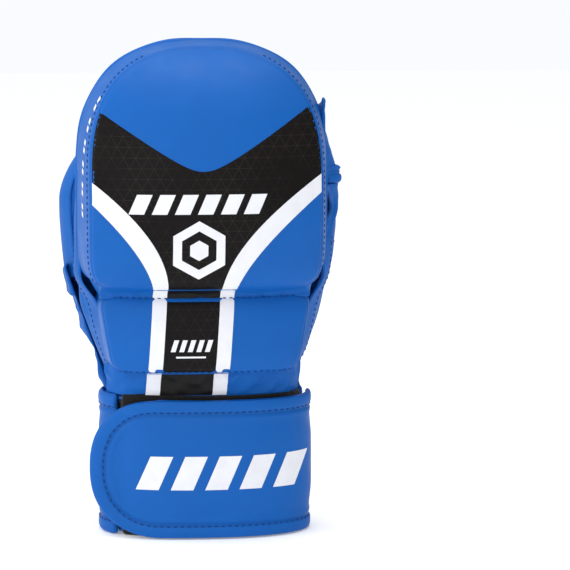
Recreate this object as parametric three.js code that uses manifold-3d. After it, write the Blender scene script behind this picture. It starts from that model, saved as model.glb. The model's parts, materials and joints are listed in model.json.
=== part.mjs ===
// A right-hand mixed-martial-arts sparring glove: a curved knuckle pad over open finger stalls, a back-of-hand
// pad, a padded thumb guard, and a wrist cuff closed by a wide wrap strap with hook and loop.
// Millimetres, +Z towards the fingertips, -Y is the back of the hand, +Y the palm, -X the thumb side.
// The origin is the middle of the wrist opening, on the plane of the cuff's lower rim.
import * as THREE from "three";
import { mergeVertices } from "three/addons/utils/BufferGeometryUtils.js";
import Module from "manifold-3d";

const wasm = await Module();
wasm.setup();

// Driving dimensions.
const LENGTH = 270; // lower rim of the cuff to the top of the knuckle pad
const HALF_WIDTH = 68.5; // widest half-width of the knuckle pad
const LEATHER = 2.4; // synthetic leather with its backing
const LINING = 1.5;
const GAP = 0.4; // clearance kept between neighbouring layers
const FOAM_INSET = LEATHER + 3 * GAP; // foam to the outer face of the cover round it
const CREASE_Z = 136.5; // stitched fold between the two dorsal pads
const WRIST_Z = 84; // fold between the cuff and the hand

// Knuckle pad: a superellipse seen from the back, an ellipse seen from the side.
const KNUCKLE = {
  centreZ: 200,
  top: LENGTH,
  bottom: CREASE_Z + 1.5,
  flare: 6, // how far the side wall spreads from the front seam to the rim
  topFlare: 3,
  frontY: -52,
  domeY: 6,
  bulgeZ: 178,
  backY: -16,
  hollowY: 18,
  hollowZ: 185,
  sideSweep: 14,
  creaseSink: 7, // how far the front face falls back at the crease
  hollowSweep: 12, // how far the back face falls back at the sides
  upperPower: 2.5,
  lowerPower: 6,
};
// Back-of-hand pad: a tapered rounded rectangle below the crease.
const HAND_PAD = {
  top: CREASE_Z - 1.5,
  bottom: 91,
  halfWidth: 56,
  seamInset: 3,
  taper: 0.0035,
  cornerPower: 5,
  frontY: -38,
  backY: -15,
  sideSweep: 9,
  edgeSink: 5,
  backSweep: 8,
};
const SWEEP_POWER = 2.6; // how late a pad's face turns back towards its sides
// Wrist ovals, as half-width and half-depth of each layer's middle.
const PALM_OVAL = [55, 26];
const FOAM_OVAL = [50.6, 21.6];
const LINING_OVAL = [46.5, 17.6];
const LOOP_OVAL = [53.6, 24.6];
const STRAP_OVAL = [59, 30.5];
const STRAP_LINING_OVAL = [56.6, 28.2];
const OVAL_POWER = 2.4;
const CUFF_TOP = 77;
const PALM_RISE = 28; // how much higher the palm panel stands near the little finger
const STRAP = { height: 76, hinge: 270, hingeGap: 1.5, bendEnd: 318, reach: 62 }; // angles in degrees
const FOAM_WALL = 4.6;
// Thumb guard.
const THUMB_ROOT = new THREE.Vector3(-47, 20.5, 95);
const THUMB_TILT = THREE.MathUtils.degToRad(14);
const THUMB = {
  halfWidth: 24.5,
  length: 127,
  bottom: -7,
  split: 83, // height of the crease on the guard's middle line
  creaseSlope: 0.42,
  creaseGap: 3,
  cavity: 18,
  pad: 9.5,
  padInset: 3,
  padBottom: 36,
  tipArc: 34,
};
// Finger stalls.
const STALL = {
  bottom: 191,
  top: 236,
  frontY: 20,
  width: 25.8,
  pitch: 28.7,
  outerX: -55.95,
  corner: 6,
  side: 28,
};
const BADGE_RADIUS = 14.2;

const { pow, abs, sqrt, sin, cos, sign, min, max, PI } = Math;
const radians = THREE.MathUtils.degToRad;
const mix = (a, b, t) => a + (b - a) * t;

// ---- Solids ----

// A closed mesh from a list of points and triangles, turned so that its faces point out.
function closedGeometry(points, triangles) {
  let volume = 0;
  for (const [a, b, c] of triangles) {
    volume += points[a].dot(new THREE.Vector3().crossVectors(points[b], points[c]));
  }
  const ordered = volume < 0 ? triangles.map(([a, b, c]) => [a, c, b]) : triangles;
  const geometry = new THREE.BufferGeometry().setFromPoints(points);
  geometry.setIndex(ordered.flat());
  return geometry;
}

// A slab between two grids of points with the same rows and columns.
function slab(front, back, columns, rows) {
  const across = columns + 1;
  const count = across * (rows + 1);
  const triangles = [];
  const quad = (a, b, c, d) => triangles.push([a, b, c], [a, c, d]);
  for (let j = 0; j < rows; j++) {
    for (let i = 0; i < columns; i++) {
      const a = j * across + i;
      quad(a, a + 1, a + across + 1, a + across);
      quad(count + a + across, count + a + across + 1, count + a + 1, count + a);
    }
  }
  for (let i = 0; i < columns; i++) {
    const top = rows * across + i;
    quad(i + 1, i, count + i, count + i + 1);
    quad(top, top + 1, count + top + 1, count + top);
  }
  for (let j = 0; j < rows; j++) {
    const left = j * across;
    const right = left + columns;
    quad(left, left + across, count + left + across, count + left);
    quad(right + across, right, count + right, count + right + across);
  }
  return closedGeometry([...front, ...back], triangles);
}

// A sheet of even thickness whose middle surface is point(u, v), with u and v from 0 to 1.
function sheet(point, columns, rows, thickness) {
  const step = 1e-3;
  const front = [];
  const back = [];
  for (let j = 0; j <= rows; j++) {
    for (let i = 0; i <= columns; i++) {
      const u = i / columns;
      const v = j / rows;
      const along = point(min(u + step, 1), v).sub(point(max(u - step, 0), v));
      const up = point(u, min(v + step, 1)).sub(point(u, max(v - step, 0)));
      const normal = along.cross(up).normalize().multiplyScalar(thickness / 2);
      front.push(point(u, v).add(normal));
      back.push(point(u, v).sub(normal));
    }
  }
  return slab(front, back, columns, rows);
}

// A closed solid from rings of points between two poles.
function ringSolid(firstPole, rings, lastPole) {
  const count = rings[0].length;
  const points = [firstPole, ...rings.flat(), lastPole];
  const last = points.length - 1;
  const triangles = [];
  for (let i = 0; i < count; i++) {
    const next = (i + 1) % count;
    triangles.push([0, 1 + next, 1 + i]);
    for (let k = 0; k < rings.length - 1; k++) {
      const a = 1 + k * count;
      const b = a + count;
      triangles.push([a + i, a + next, b + next], [a + i, b + next, b + i]);
    }
    const end = 1 + (rings.length - 1) * count;
    triangles.push([last, end + i, end + next]);
  }
  return closedGeometry(points, triangles);
}

function toManifold(geometry) {
  const bare = geometry.clone();
  bare.deleteAttribute("normal");
  bare.deleteAttribute("uv");
  const merged = mergeVertices(bare, 1e-4);
  const vertProperties = new Float32Array(merged.attributes.position.array);
  const triVerts = new Uint32Array(merged.index.array);
  return new wasm.Manifold(new wasm.Mesh({ numProp: 3, vertProperties, triVerts }));
}

function fromManifold(solid) {
  const mesh = solid.getMesh();
  const geometry = new THREE.BufferGeometry();
  geometry.setAttribute("position", new THREE.BufferAttribute(new Float32Array(mesh.vertProperties), 3));
  geometry.setIndex(new THREE.BufferAttribute(new Uint32Array(mesh.triVerts), 1));
  return geometry;
}

const subtract = (a, b) => fromManifold(toManifold(a).subtract(toManifold(b)));
const intersect = (a, b) => fromManifold(toManifold(a).intersect(toManifold(b)));

// ---- Dorsal pads ----

// Distance from a pad's centre to its outline at an angle; each half is its own superellipse.
function outlinePoint(angle, halfWidth, upper, lower, upperPower, lowerPower) {
  const half = sin(angle) >= 0 ? upper : lower;
  const power = sin(angle) >= 0 ? upperPower : lowerPower;
  const reach = pow(pow(abs(cos(angle)) / halfWidth, power) + pow(abs(sin(angle)) / half, power), -1 / power);
  return [reach * cos(angle), reach * sin(angle)];
}

// flare 0 is the front seam, 1 the rim behind it; inset draws the outline in.
function knuckleOutline(angle, flare, inset) {
  const side = HALF_WIDTH - KNUCKLE.flare * (1 - flare) - inset;
  const upper = KNUCKLE.top - KNUCKLE.centreZ - KNUCKLE.topFlare * (1 - flare) - inset;
  const lower = KNUCKLE.centreZ - KNUCKLE.bottom - inset;
  const [x, z] = outlinePoint(angle, side, upper, lower, KNUCKLE.upperPower, KNUCKLE.lowerPower);
  return [x, z + KNUCKLE.centreZ];
}

function knuckleFront(x, z) {
  const height = KNUCKLE.top - KNUCKLE.bulgeZ + 1;
  const rise = min(1, max(0, (z - KNUCKLE.bulgeZ) / height));
  const dome = KNUCKLE.domeY + (KNUCKLE.frontY - KNUCKLE.domeY) * sqrt(1 - rise * rise);
  const sink = KNUCKLE.creaseSink * pow(max(0, KNUCKLE.bulgeZ - z) / (KNUCKLE.bulgeZ - KNUCKLE.bottom), 2);
  return dome + sink + KNUCKLE.sideSweep * pow(abs(x) / HALF_WIDTH, SWEEP_POWER);
}

function knuckleBack(x, z) {
  const height = KNUCKLE.top - KNUCKLE.hollowZ + 1;
  const rise = min(1, max(0, (z - KNUCKLE.hollowZ) / height));
  const hollow = KNUCKLE.hollowY + (KNUCKLE.backY - KNUCKLE.hollowY) * sqrt(1 - rise * rise);
  return hollow + KNUCKLE.hollowSweep * pow(abs(x) / HALF_WIDTH, 3);
}

function handOutline(angle, flare, inset) {
  const middle = (HAND_PAD.top + HAND_PAD.bottom) / 2;
  const half = (HAND_PAD.top - HAND_PAD.bottom) / 2 - inset;
  const width = HAND_PAD.halfWidth - HAND_PAD.seamInset * (1 - flare) - inset;
  const [x, z] = outlinePoint(angle, width, half, half, HAND_PAD.cornerPower, HAND_PAD.cornerPower);
  return [x * (1 + HAND_PAD.taper * z), z + middle];
}

function handFront(x, z) {
  const middle = (HAND_PAD.top + HAND_PAD.bottom) / 2;
  const half = (HAND_PAD.top - HAND_PAD.bottom) / 2;
  const sweep = HAND_PAD.sideSweep * pow(abs(x) / HAND_PAD.halfWidth, SWEEP_POWER);
  return HAND_PAD.frontY + sweep + HAND_PAD.edgeSink * pow(abs(z - middle) / half, 4);
}

const handBack = (x) => HAND_PAD.backY + HAND_PAD.backSweep * pow(abs(x) / HAND_PAD.halfWidth, 3);

// A layer of a pad, drawn in by inset, between two shares of its depth: 0 is the front skin's face, 1 the lining's.
function padLayer(pad, from, to, inset, spokes) {
  const depth = (share, x, z) => mix(pad.front(x, z) + inset, pad.back(x, z), share);
  const ring = (share, size) => {
    const points = [];
    for (let i = 0; i < spokes; i++) {
      const [x, z] = pad.outline((2 * PI * (i + 0.5)) / spokes, share, inset);
      const px = x * size;
      const pz = mix(pad.centreZ, z, size);
      points.push(new THREE.Vector3(px, depth(share, px, pz), pz));
    }
    return points;
  };
  const pole = (share) => new THREE.Vector3(0, depth(share, 0, pad.centreZ), pad.centreZ);
  const sizes = pad.sizes;
  const rings = [...sizes.map((s) => ring(from, s)), ...[...sizes].reverse().map((s) => ring(to, s))];
  return ringSolid(pole(from), rings, pole(to));
}

const KNUCKLE_PAD = {
  outline: knuckleOutline,
  front: knuckleFront,
  back: knuckleBack,
  centreZ: KNUCKLE.centreZ,
  sizes: [0.4, 0.72, 0.92, 1],
};
const BACKHAND_PAD = {
  outline: handOutline,
  front: handFront,
  back: handBack,
  centreZ: (HAND_PAD.top + HAND_PAD.bottom) / 2,
  sizes: [0.5, 0.85, 1],
};

// The leather cover is the whole pad with its inside cut out from behind.
function padCover(pad, spokes) {
  return subtract(padLayer(pad, 0, 1, 0, spokes), padLayer(pad, 0, 1.2, LEATHER, spokes));
}

// ---- Wrist ----

// A point on a wrist oval: 0 degrees is the thumb side, 90 the palm, 180 the little-finger side, 270 the back.
function ovalPoint(oval, degrees, z) {
  const angle = radians(degrees);
  const power = 2 / OVAL_POWER;
  const x = -oval[0] * sign(cos(angle)) * pow(abs(cos(angle)), power);
  const y = oval[1] * sign(sin(angle)) * pow(abs(sin(angle)), power);
  return new THREE.Vector3(x, y, z);
}

// The palm side of the cuff rises towards the little finger.
function palmTop(degrees) {
  const up = THREE.MathUtils.smoothstep(degrees, 88, 134);
  const down = THREE.MathUtils.smoothstep(degrees, 146, 172);
  return CUFF_TOP + PALM_RISE * up * (1 - down);
}

const arcSheet = (oval, from, to, bottom, top, columns, rows, thickness) =>
  sheet((u, v) => {
    const degrees = mix(from, to, u);
    return ovalPoint(oval, degrees, mix(bottom, typeof top === "function" ? top(degrees) : top, v));
  }, columns, rows, thickness);

// The strap's rounded end, cut from a sheet by a bar with a half-round end.
function strapTip() {
  const half = STRAP.height / 2;
  const bentShare = 0.8;
  const straight = new THREE.Vector3(-16, 3.5, 0);
  const wrap = sheet((u, v) => {
    const bend = mix(STRAP.hinge + STRAP.hingeGap, STRAP.bendEnd, min(1, u / bentShare));
    const past = max(0, u - bentShare) / (1 - bentShare);
    return ovalPoint(STRAP_OVAL, bend, v * STRAP.height).addScaledVector(straight, past);
  }, 18, 2, LEATHER);
  const outline = new THREE.Shape();
  const margin = 10;
  outline.moveTo(margin, -margin);
  outline.lineTo(margin, STRAP.height + margin);
  outline.lineTo(half - STRAP.reach, STRAP.height + margin);
  outline.lineTo(half - STRAP.reach, STRAP.height);
  outline.absarc(half - STRAP.reach, half, half, PI / 2, 1.5 * PI, false);
  outline.lineTo(half - STRAP.reach, -margin);
  const bar = new THREE.ExtrudeGeometry(outline, { depth: 80, bevelEnabled: false, curveSegments: 16 });
  bar.rotateX(PI / 2);
  bar.translate(0, 20, 0);
  return intersect(wrap, bar);
}

// ---- Fingers and side walls ----

// A U-shaped stall wall, open towards the lining, whose back edges follow the hollow of the knuckle pad.
function stall(index) {
  const left = STALL.outerX + index * STALL.pitch;
  const right = left + STALL.width;
  const r = STALL.corner;
  return sheet((u, v) => {
    const z = mix(STALL.bottom, STALL.top, v);
    const inner = (x) => knuckleBack(x, z) + LEATHER / 2 + 1;
    const arc = (PI / 2) * r;
    const face = right - left - 2 * r;
    const total = 2 * STALL.side + 2 * arc + face;
    let s = u * total;
    if (s < STALL.side) return new THREE.Vector3(left, mix(inner(left), STALL.frontY - r, s / STALL.side), z);
    s -= STALL.side;
    if (s < arc) return new THREE.Vector3(left + r - r * cos(s / r), STALL.frontY - r + r * sin(s / r), z);
    s -= arc;
    if (s < face) return new THREE.Vector3(left + r + s, STALL.frontY, z);
    s -= face;
    if (s < arc) return new THREE.Vector3(right - r + r * sin(s / r), STALL.frontY - r + r * cos(s / r), z);
    s -= arc;
    return new THREE.Vector3(right, mix(STALL.frontY - r, inner(right), s / STALL.side), z);
  }, 22, 3, LEATHER);
}

// A curved wall over a path of plan points, between two heights that may vary along it.
function wall(path, bottom, top, columns, rows, thickness = LEATHER) {
  const curve = new THREE.CatmullRomCurve3(path.map(([x, y]) => new THREE.Vector3(x, y, 0)));
  const level = (height, u) => (typeof height === "function" ? height(u) : height);
  const point = (u, v) => curve.getPoint(u).setZ(mix(level(bottom, u), level(top, u), v));
  return sheet(point, columns, rows, thickness);
}

// Round cord along a curve.
function cord(points, radius, steps) {
  const section = new THREE.Shape().absarc(0, 0, radius, 0, 2 * PI, false);
  const extrudePath = new THREE.CatmullRomCurve3(points);
  return new THREE.ExtrudeGeometry(section, { extrudePath, steps, curveSegments: 4, bevelEnabled: false });
}

// Cord sewn round the rim of the knuckle pad, from one side of the crease over the top to the other.
function rimCord() {
  const points = [];
  const spans = 24;
  const radius = 2.2;
  for (let i = 0; i <= spans; i++) {
    const angle = mix(radians(-34), radians(214), i / spans);
    const [x, z] = knuckleOutline(angle, 1, LEATHER + GAP);
    points.push(new THREE.Vector3(x, knuckleBack(x, z) + 2 * radius + GAP, z));
  }
  return cord(points, radius, 2 * spans);
}

// ---- Thumb guard, in its own tilted frame: X across, Z along the thumb, Y towards the pad ----

const thumbCrease = (x) => THUMB.split + THUMB.creaseSlope * -x;

// Half-width of the guard along its length, closing in an arc at the tip and drawn in at the root.
function thumbHalfWidth(z) {
  const rootLength = 53;
  const tip = max(0, (z - (THUMB.length - THUMB.tipArc)) / THUMB.tipArc);
  const root = max(0, (THUMB.bottom + rootLength - z) / rootLength);
  return THUMB.halfWidth * sqrt(max(0.02, 1 - pow(tip, 2.2))) * (1 - 0.16 * root * root);
}

function thumbOutline(halfAt, bottom, top, inset) {
  const shape = new THREE.Shape();
  const steps = 14;
  for (let i = 0; i <= steps; i++) {
    const z = mix(bottom + inset, top - inset, i / steps);
    const x = halfAt(z) - inset;
    if (i === 0) shape.moveTo(x, z);
    else shape.lineTo(x, z);
  }
  for (let i = steps; i >= 0; i--) {
    const z = mix(bottom + inset, top - inset, i / steps);
    shape.lineTo(inset - halfAt(z), z);
  }
  return shape;
}

// A prism over an outline in the thumb frame, from one depth to another.
function thumbPrism(shape, near, far) {
  const prism = new THREE.ExtrudeGeometry(shape, { depth: far - near, bevelEnabled: false });
  prism.rotateX(PI / 2);
  prism.translate(0, far, 0);
  return prism;
}

// Everything above (or below) the slanting crease, as a cutting block.
function creaseBlock(above, clearance) {
  const far = 80;
  const edge = (x) => thumbCrease(x) + (above ? clearance : -clearance);
  const shape = new THREE.Shape();
  shape.moveTo(-far, edge(-far));
  shape.lineTo(far, edge(far));
  shape.lineTo(far, above ? 400 : -400);
  shape.lineTo(-far, above ? 400 : -400);
  return thumbPrism(shape, -60, 80);
}

// The guard's back and sides: a channel with its open side towards the pads.
function thumbChannel(above) {
  const outer = thumbPrism(thumbOutline(thumbHalfWidth, THUMB.bottom, THUMB.length, 0), 0, THUMB.cavity);
  const inner = thumbOutline(thumbHalfWidth, THUMB.bottom - 20, THUMB.length, LEATHER);
  const channel = subtract(outer, thumbPrism(inner, LEATHER, THUMB.cavity + 10));
  return intersect(channel, creaseBlock(above, THUMB.creaseGap));
}

// One layer of a thumb pad, between two depths above the channel, drawn in by inset.
function thumbPadLayer(above, from, to, inset) {
  const floor = THUMB.cavity + GAP;
  const outline = thumbOutline(thumbHalfWidth, THUMB.padBottom, THUMB.length, THUMB.padInset + inset);
  const layer = thumbPrism(outline, floor + from, floor + to);
  return intersect(layer, creaseBlock(above, THUMB.creaseGap - GAP + inset));
}

// The cover has an open back, and the foam sits inside it.
function thumbCover(above) {
  const whole = thumbPadLayer(above, 0, THUMB.pad, 0);
  return subtract(whole, thumbPadLayer(above, -1, THUMB.pad - LEATHER, LEATHER));
}

const thumbFoam = (above) => thumbPadLayer(above, 0, THUMB.pad - LEATHER - GAP, LEATHER + GAP);

// ---- Assembly ----

const BLUE = { color: 0x1d5fb8, roughness: 0.42, metalness: 0 };
const BLACK = { color: 0x16130f, roughness: 0.85, metalness: 0 };
const FOAM = { color: 0x3a3a3c, roughness: 0.95, metalness: 0 };
const MESH = { color: 0x2b281f, roughness: 0.9, metalness: 0 };
const BADGE = { color: 0xd9d9de, roughness: 0.4, metalness: 0 };

const glove = new THREE.Group();
glove.name = "glove";

function add(name, geometry, look, parent = glove) {
  const mesh = new THREE.Mesh(geometry, new THREE.MeshStandardMaterial(look));
  mesh.name = name;
  parent.add(mesh);
}

function addKnucklePad() {
  add("knuckle_pad_cover", padCover(KNUCKLE_PAD, 32), BLUE);
  add("knuckle_pad_impact_foam", padLayer(KNUCKLE_PAD, 0.02, 0.6, FOAM_INSET, 32), FOAM);
  add("knuckle_pad_comfort_foam", padLayer(KNUCKLE_PAD, 0.62, 0.9, FOAM_INSET, 32), FOAM);
  add("knuckle_pad_lining", padLayer(KNUCKLE_PAD, 0.92, 0.97, FOAM_INSET, 32), MESH);
  add("knuckle_pad_rim_binding", rimCord(), BLUE);
}

function addBackhandPad() {
  add("backhand_pad_cover", padCover(BACKHAND_PAD, 24), BLUE);
  add("backhand_pad_foam", padLayer(BACKHAND_PAD, 0.03, 0.84, FOAM_INSET, 24), FOAM);
  add("backhand_pad_lining", padLayer(BACKHAND_PAD, 0.87, 0.97, FOAM_INSET, 24), MESH);
}

function addWristGusset() {
  const path = [[-49, -13], [-32, -21.5], [0, -24.5], [32, -21.5], [49, -13]];
  add("wrist_gusset", wall(path, WRIST_Z - 1, HAND_PAD.bottom - 0.6, 14, 1, LINING), BLUE);
}

function addFingerStalls() {
  const names = ["index", "middle", "ring", "little"];
  names.forEach((name, i) => add(`${name}_finger_stall`, stall(i), BLUE));
  const path = [[-60.5, 11], [-40, 20.3], [0, 22.5], [40, 20.3], [60.5, 11]];
  const barBottom = (u) => 184 - 3 * u;
  const barTop = (u) => STALL.bottom - 1.4 - u;
  add("palm_bar", wall(path, barBottom, barTop, 16, 1, 1.4 * LEATHER), BLUE);
}

// Thin leather walls join the dorsal pads to the palm side. Each is split at the crease so that it can fold.
function addSideWalls() {
  const fold = 6.5;
  const lowerTop = CREASE_Z - fold;
  const upperBottom = CREASE_Z + fold;
  const wallTop = STALL.bottom - 5;
  const littleUpper = [[69, 3.6], [73, 8], [71.5, 14]];
  const indexUpper = [[-65.6, 2], [-66.6, 7], [-64.6, 12]];
  const littleLower = [[54, -4.4], [58, 3], [55, 11], [50, 14]];
  const thenar = [[-54, -4.4], [-58, 3], [-52, 12], [-38, 16], [-14, 16.4]];
  add("little_finger_side_wall", wall(littleUpper, upperBottom, wallTop, 5, 3), BLUE);
  add("index_side_wall", wall(indexUpper, upperBottom + 17, wallTop, 5, 2), BLUE);
  add("little_side_hand_wall", wall(littleLower, (u) => 92 + 20 * u, lowerTop, 7, 3), BLUE);
  add("thenar_panel", wall(thenar, (u) => 94 - 7 * u, lowerTop, 12, 3), BLUE);
}

function addThumb() {
  const frame = new THREE.Group();
  frame.position.copy(THUMB_ROOT);
  frame.rotation.x = -THUMB_TILT;
  glove.add(frame);
  add("thumb_channel_lower", thumbChannel(false), BLUE, frame);
  add("thumb_pad_lower_cover", thumbCover(false), BLUE, frame);
  add("thumb_pad_lower_foam", thumbFoam(false), FOAM, frame);
  add("thumb_channel_upper", thumbChannel(true), BLUE, frame);
  add("thumb_pad_upper_cover", thumbCover(true), BLUE, frame);
  add("thumb_pad_upper_foam", thumbFoam(true), FOAM, frame);
}

function addCuff() {
  const foamTop = (degrees) => palmTop(degrees) - 3;
  const liningTop = (degrees) => palmTop(degrees) - 2;
  add("palm_wrist_panel", arcSheet(PALM_OVAL, -32, 176, 0, palmTop, 24, 3, LEATHER), BLUE);
  add("palm_wrist_foam", arcSheet(FOAM_OVAL, -20, 172, 1.5, foamTop, 20, 2, FOAM_WALL), FOAM);
  add("palm_wrist_lining", arcSheet(LINING_OVAL, -18, 174, 1, liningTop, 20, 2, LINING), MESH);
  add("wrist_loop_panel", arcSheet(LOOP_OVAL, 190, 322, 0, CUFF_TOP, 18, 1, LEATHER), BLACK);
  add("dorsal_wrist_foam", arcSheet(FOAM_OVAL, 188, 330, 1.5, CUFF_TOP - 2, 16, 1, 3), FOAM);
  add("dorsal_wrist_lining", arcSheet(LINING_OVAL, 186, 334, 1, CUFF_TOP - 1, 16, 1, LINING), MESH);
  const badge = new THREE.CylinderGeometry(BADGE_RADIUS, BADGE_RADIUS, LEATHER / 2, 28);
  badge.translate(0, PALM_OVAL[1] + LEATHER / 2 + 1, CUFF_TOP / 2);
  add("palm_round_badge", badge, BADGE);
}

function addStrap() {
  const wrapEnd = STRAP.hinge - STRAP.hingeGap;
  const margin = 4;
  const hookMargin = 9;
  const backing = arcSheet(STRAP_LINING_OVAL, 196, wrapEnd, margin, STRAP.height - margin, 12, 1, LINING);
  const hookTop = STRAP.height - hookMargin;
  const hook = arcSheet(STRAP_LINING_OVAL, STRAP.hinge + 4, 314, hookMargin, hookTop, 10, 1, LINING);
  add("strap_wrap", arcSheet(STRAP_OVAL, 181, wrapEnd, 0, STRAP.height, 16, 1, LEATHER), BLUE);
  add("strap_wrap_backing", backing, BLACK);
  add("strap_tip", strapTip(), BLUE);
  add("strap_hook_patch", hook, BLACK);
}

addKnucklePad();
addBackhandPad();
addWristGusset();
addFingerStalls();
addSideWalls();
addThumb();
addCuff();
addStrap();

export default glove;
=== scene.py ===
"""A right-hand mixed-martial-arts sparring glove: its looks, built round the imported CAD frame.

Lengths in this file are millimetres in the frame's axes: -Y is the back of the hand, +Y the palm,
-X the thumb side and +Z the fingertips. MM turns them into Blender's metres.
"""

import json
import math
import random

import bpy
import numpy as np
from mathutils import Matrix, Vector, noise
from mathutils.bvhtree import BVHTree
from mathutils.geometry import delaunay_2d_cdt
from mathutils.kdtree import KDTree


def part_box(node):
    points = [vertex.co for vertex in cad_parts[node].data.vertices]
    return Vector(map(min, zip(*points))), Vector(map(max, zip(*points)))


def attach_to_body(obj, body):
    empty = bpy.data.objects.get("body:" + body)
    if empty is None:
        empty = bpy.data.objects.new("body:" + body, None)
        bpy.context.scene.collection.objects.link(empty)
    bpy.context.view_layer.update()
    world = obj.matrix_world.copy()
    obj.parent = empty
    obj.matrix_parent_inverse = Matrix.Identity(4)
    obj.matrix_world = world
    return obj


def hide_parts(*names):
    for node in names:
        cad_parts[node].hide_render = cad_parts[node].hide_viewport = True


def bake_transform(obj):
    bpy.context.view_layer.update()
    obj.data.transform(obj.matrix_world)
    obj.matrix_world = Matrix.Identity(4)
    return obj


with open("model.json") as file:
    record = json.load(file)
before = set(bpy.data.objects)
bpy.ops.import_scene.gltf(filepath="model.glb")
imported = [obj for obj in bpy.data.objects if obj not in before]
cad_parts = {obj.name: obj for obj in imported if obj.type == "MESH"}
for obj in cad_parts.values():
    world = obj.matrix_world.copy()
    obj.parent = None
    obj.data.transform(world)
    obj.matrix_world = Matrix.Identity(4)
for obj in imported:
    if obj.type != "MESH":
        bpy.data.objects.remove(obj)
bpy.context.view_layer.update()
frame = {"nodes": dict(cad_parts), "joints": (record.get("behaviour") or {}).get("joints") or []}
MM = 0.001


def span(*nodes):
    """Lowest and highest corner of some CAD nodes together."""
    boxes = [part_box(node) for node in nodes]
    low = np.min([np.array(box[0]) for box in boxes], axis=0)
    high = np.max([np.array(box[1]) for box in boxes], axis=0)
    return low / MM, high / MM


def joint(name):
    """Pivot and unit axis of a joint."""
    found = next(j for j in frame["joints"] if j["name"] == name)
    axis = np.array(found["axis"], float)
    return np.array(found["pos_m"], float) / MM, axis / np.linalg.norm(axis)


# ---- Sizes taken from the frame ----

KNUCKLE_LOW, KNUCKLE_HIGH = span("knuckle_pad_cover")
HAND_LOW, HAND_HIGH = span("backhand_pad_cover")
PALM_LOW, PALM_HIGH = span("palm_wrist_panel")
_, LOOP_HIGH = span("wrist_loop_panel")
STRAP_LOW, STRAP_HIGH = span("strap_wrap", "strap_tip")
STALL_LOW, STALL_HIGH = span("index_finger_stall", "little_finger_stall")
BADGE_LOW, BADGE_HIGH = span("palm_round_badge")
CREASE_PIVOT, _ = joint("finger_flex")
CREASE_Z = CREASE_PIVOT[2]
LEATHER = 2.4
HALF_WIDTH = KNUCKLE_HIGH[0]
PAD_TOP = KNUCKLE_HIGH[2]
SEAM_INSET = 6.0
LEAN = 0.062  # how far the printed middle line leans towards the thumb, per unit of height below the knuckles


# ---- Mesh helpers ----

def collection_link(obj):
    bpy.context.scene.collection.objects.link(obj)
    return obj


def mesh_piece(name, points, faces, material):
    """A smooth-shaded mesh object from points in millimetres."""
    mesh = bpy.data.meshes.new(name)
    mesh.from_pydata((np.asarray(points, float) * MM).tolist(), [], faces)
    mesh.validate()
    mesh.update()
    mesh.shade_smooth()
    if material is not None:
        mesh.materials.append(material)
    return collection_link(bpy.data.objects.new(name, mesh))


def face_outwards(obj):
    """Turns the faces of a closed mesh outwards."""
    mesh = obj.data
    co = coordinates(obj)
    volume = 0.0
    for polygon in mesh.polygons:
        a = co[polygon.vertices[0]]
        for i in range(1, len(polygon.vertices) - 1):
            volume += a.dot(np.cross(co[polygon.vertices[i]], co[polygon.vertices[i + 1]]))
    if volume < 0:
        mesh.flip_normals()
    return obj


def coordinates(obj):
    co = np.empty(len(obj.data.vertices) * 3, np.float64)
    obj.data.vertices.foreach_get("co", co)
    return co.reshape(-1, 3) / MM


def set_coordinates(obj, points):
    obj.data.vertices.foreach_set("co", (np.asarray(points) * MM).astype(np.float32).ravel())
    obj.data.update()


def vertex_normals(obj):
    normals = np.empty(len(obj.data.vertices) * 3, np.float32)
    obj.data.vertex_normals.foreach_get("vector", normals)
    return normals.reshape(-1, 3).astype(float)


def apply_modifiers(obj):
    """Replaces the mesh by its evaluated copy."""
    depsgraph = bpy.context.evaluated_depsgraph_get()
    made = bpy.data.meshes.new_from_object(obj.evaluated_get(depsgraph), depsgraph=depsgraph)
    obj.modifiers.clear()
    obj.data = made
    obj.data.shade_smooth()
    return obj


def subdivide(obj, levels=1):
    modifier = obj.modifiers.new("Subdivision", "SUBSURF")
    modifier.levels = levels
    modifier.render_levels = levels
    return apply_modifiers(obj)


def unit(vectors):
    vectors = np.asarray(vectors, float)
    return vectors / np.maximum(np.linalg.norm(vectors, axis=-1, keepdims=True), 1e-9)


def smoothstep(value, low, high):
    t = np.clip((np.asarray(value, float) - low) / (high - low), 0, 1)
    return t * t * (3 - 2 * t)


def bump_at(value, centre, width):
    return np.exp(-(((np.asarray(value, float) - centre) / width) ** 2))


def soft_noise(points, size, seed=0.0):
    """Smooth noise from -1 to 1 at each point, with features about `size` across."""
    return np.array([noise.noise(Vector(p / size) + Vector((seed, 1.7 * seed, -seed))) for p in points])


def catmull(points, count):
    """Evenly spaced points on a smooth curve through the given ones."""
    p = np.asarray(points, float)
    p = np.vstack([2 * p[0] - p[1], p, 2 * p[-1] - p[-2]])
    fine = []
    for i in range(1, len(p) - 2):
        for t in np.linspace(0, 1, 16, endpoint=False):
            a, b, c, d = p[i - 1], p[i], p[i + 1], p[i + 2]
            fine.append(0.5 * (2 * b + (c - a) * t + (2 * a - 5 * b + 4 * c - d) * t**2
                               + (3 * b - a - 3 * c + d) * t**3))
    fine.append(p[-2])
    return resample(np.array(fine), count)


def resample(path, count):
    steps = np.linalg.norm(np.diff(path, axis=0), axis=1)
    length = np.concatenate([[0], np.cumsum(steps)])
    at = np.linspace(0, length[-1], count)
    return np.stack([np.interp(at, length, path[:, k]) for k in range(path.shape[1])], axis=1)


def upright(line, heights):
    """A grid of points standing on a plan line, at the given heights, shaped (rows, columns)."""
    x = np.broadcast_to(line[:, 0], heights.shape)
    y = np.broadcast_to(line[:, 1], heights.shape)
    return np.stack([x, y, heights], axis=-1)


def path_length(path):
    return float(np.linalg.norm(np.diff(path, axis=0), axis=1).sum())


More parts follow.
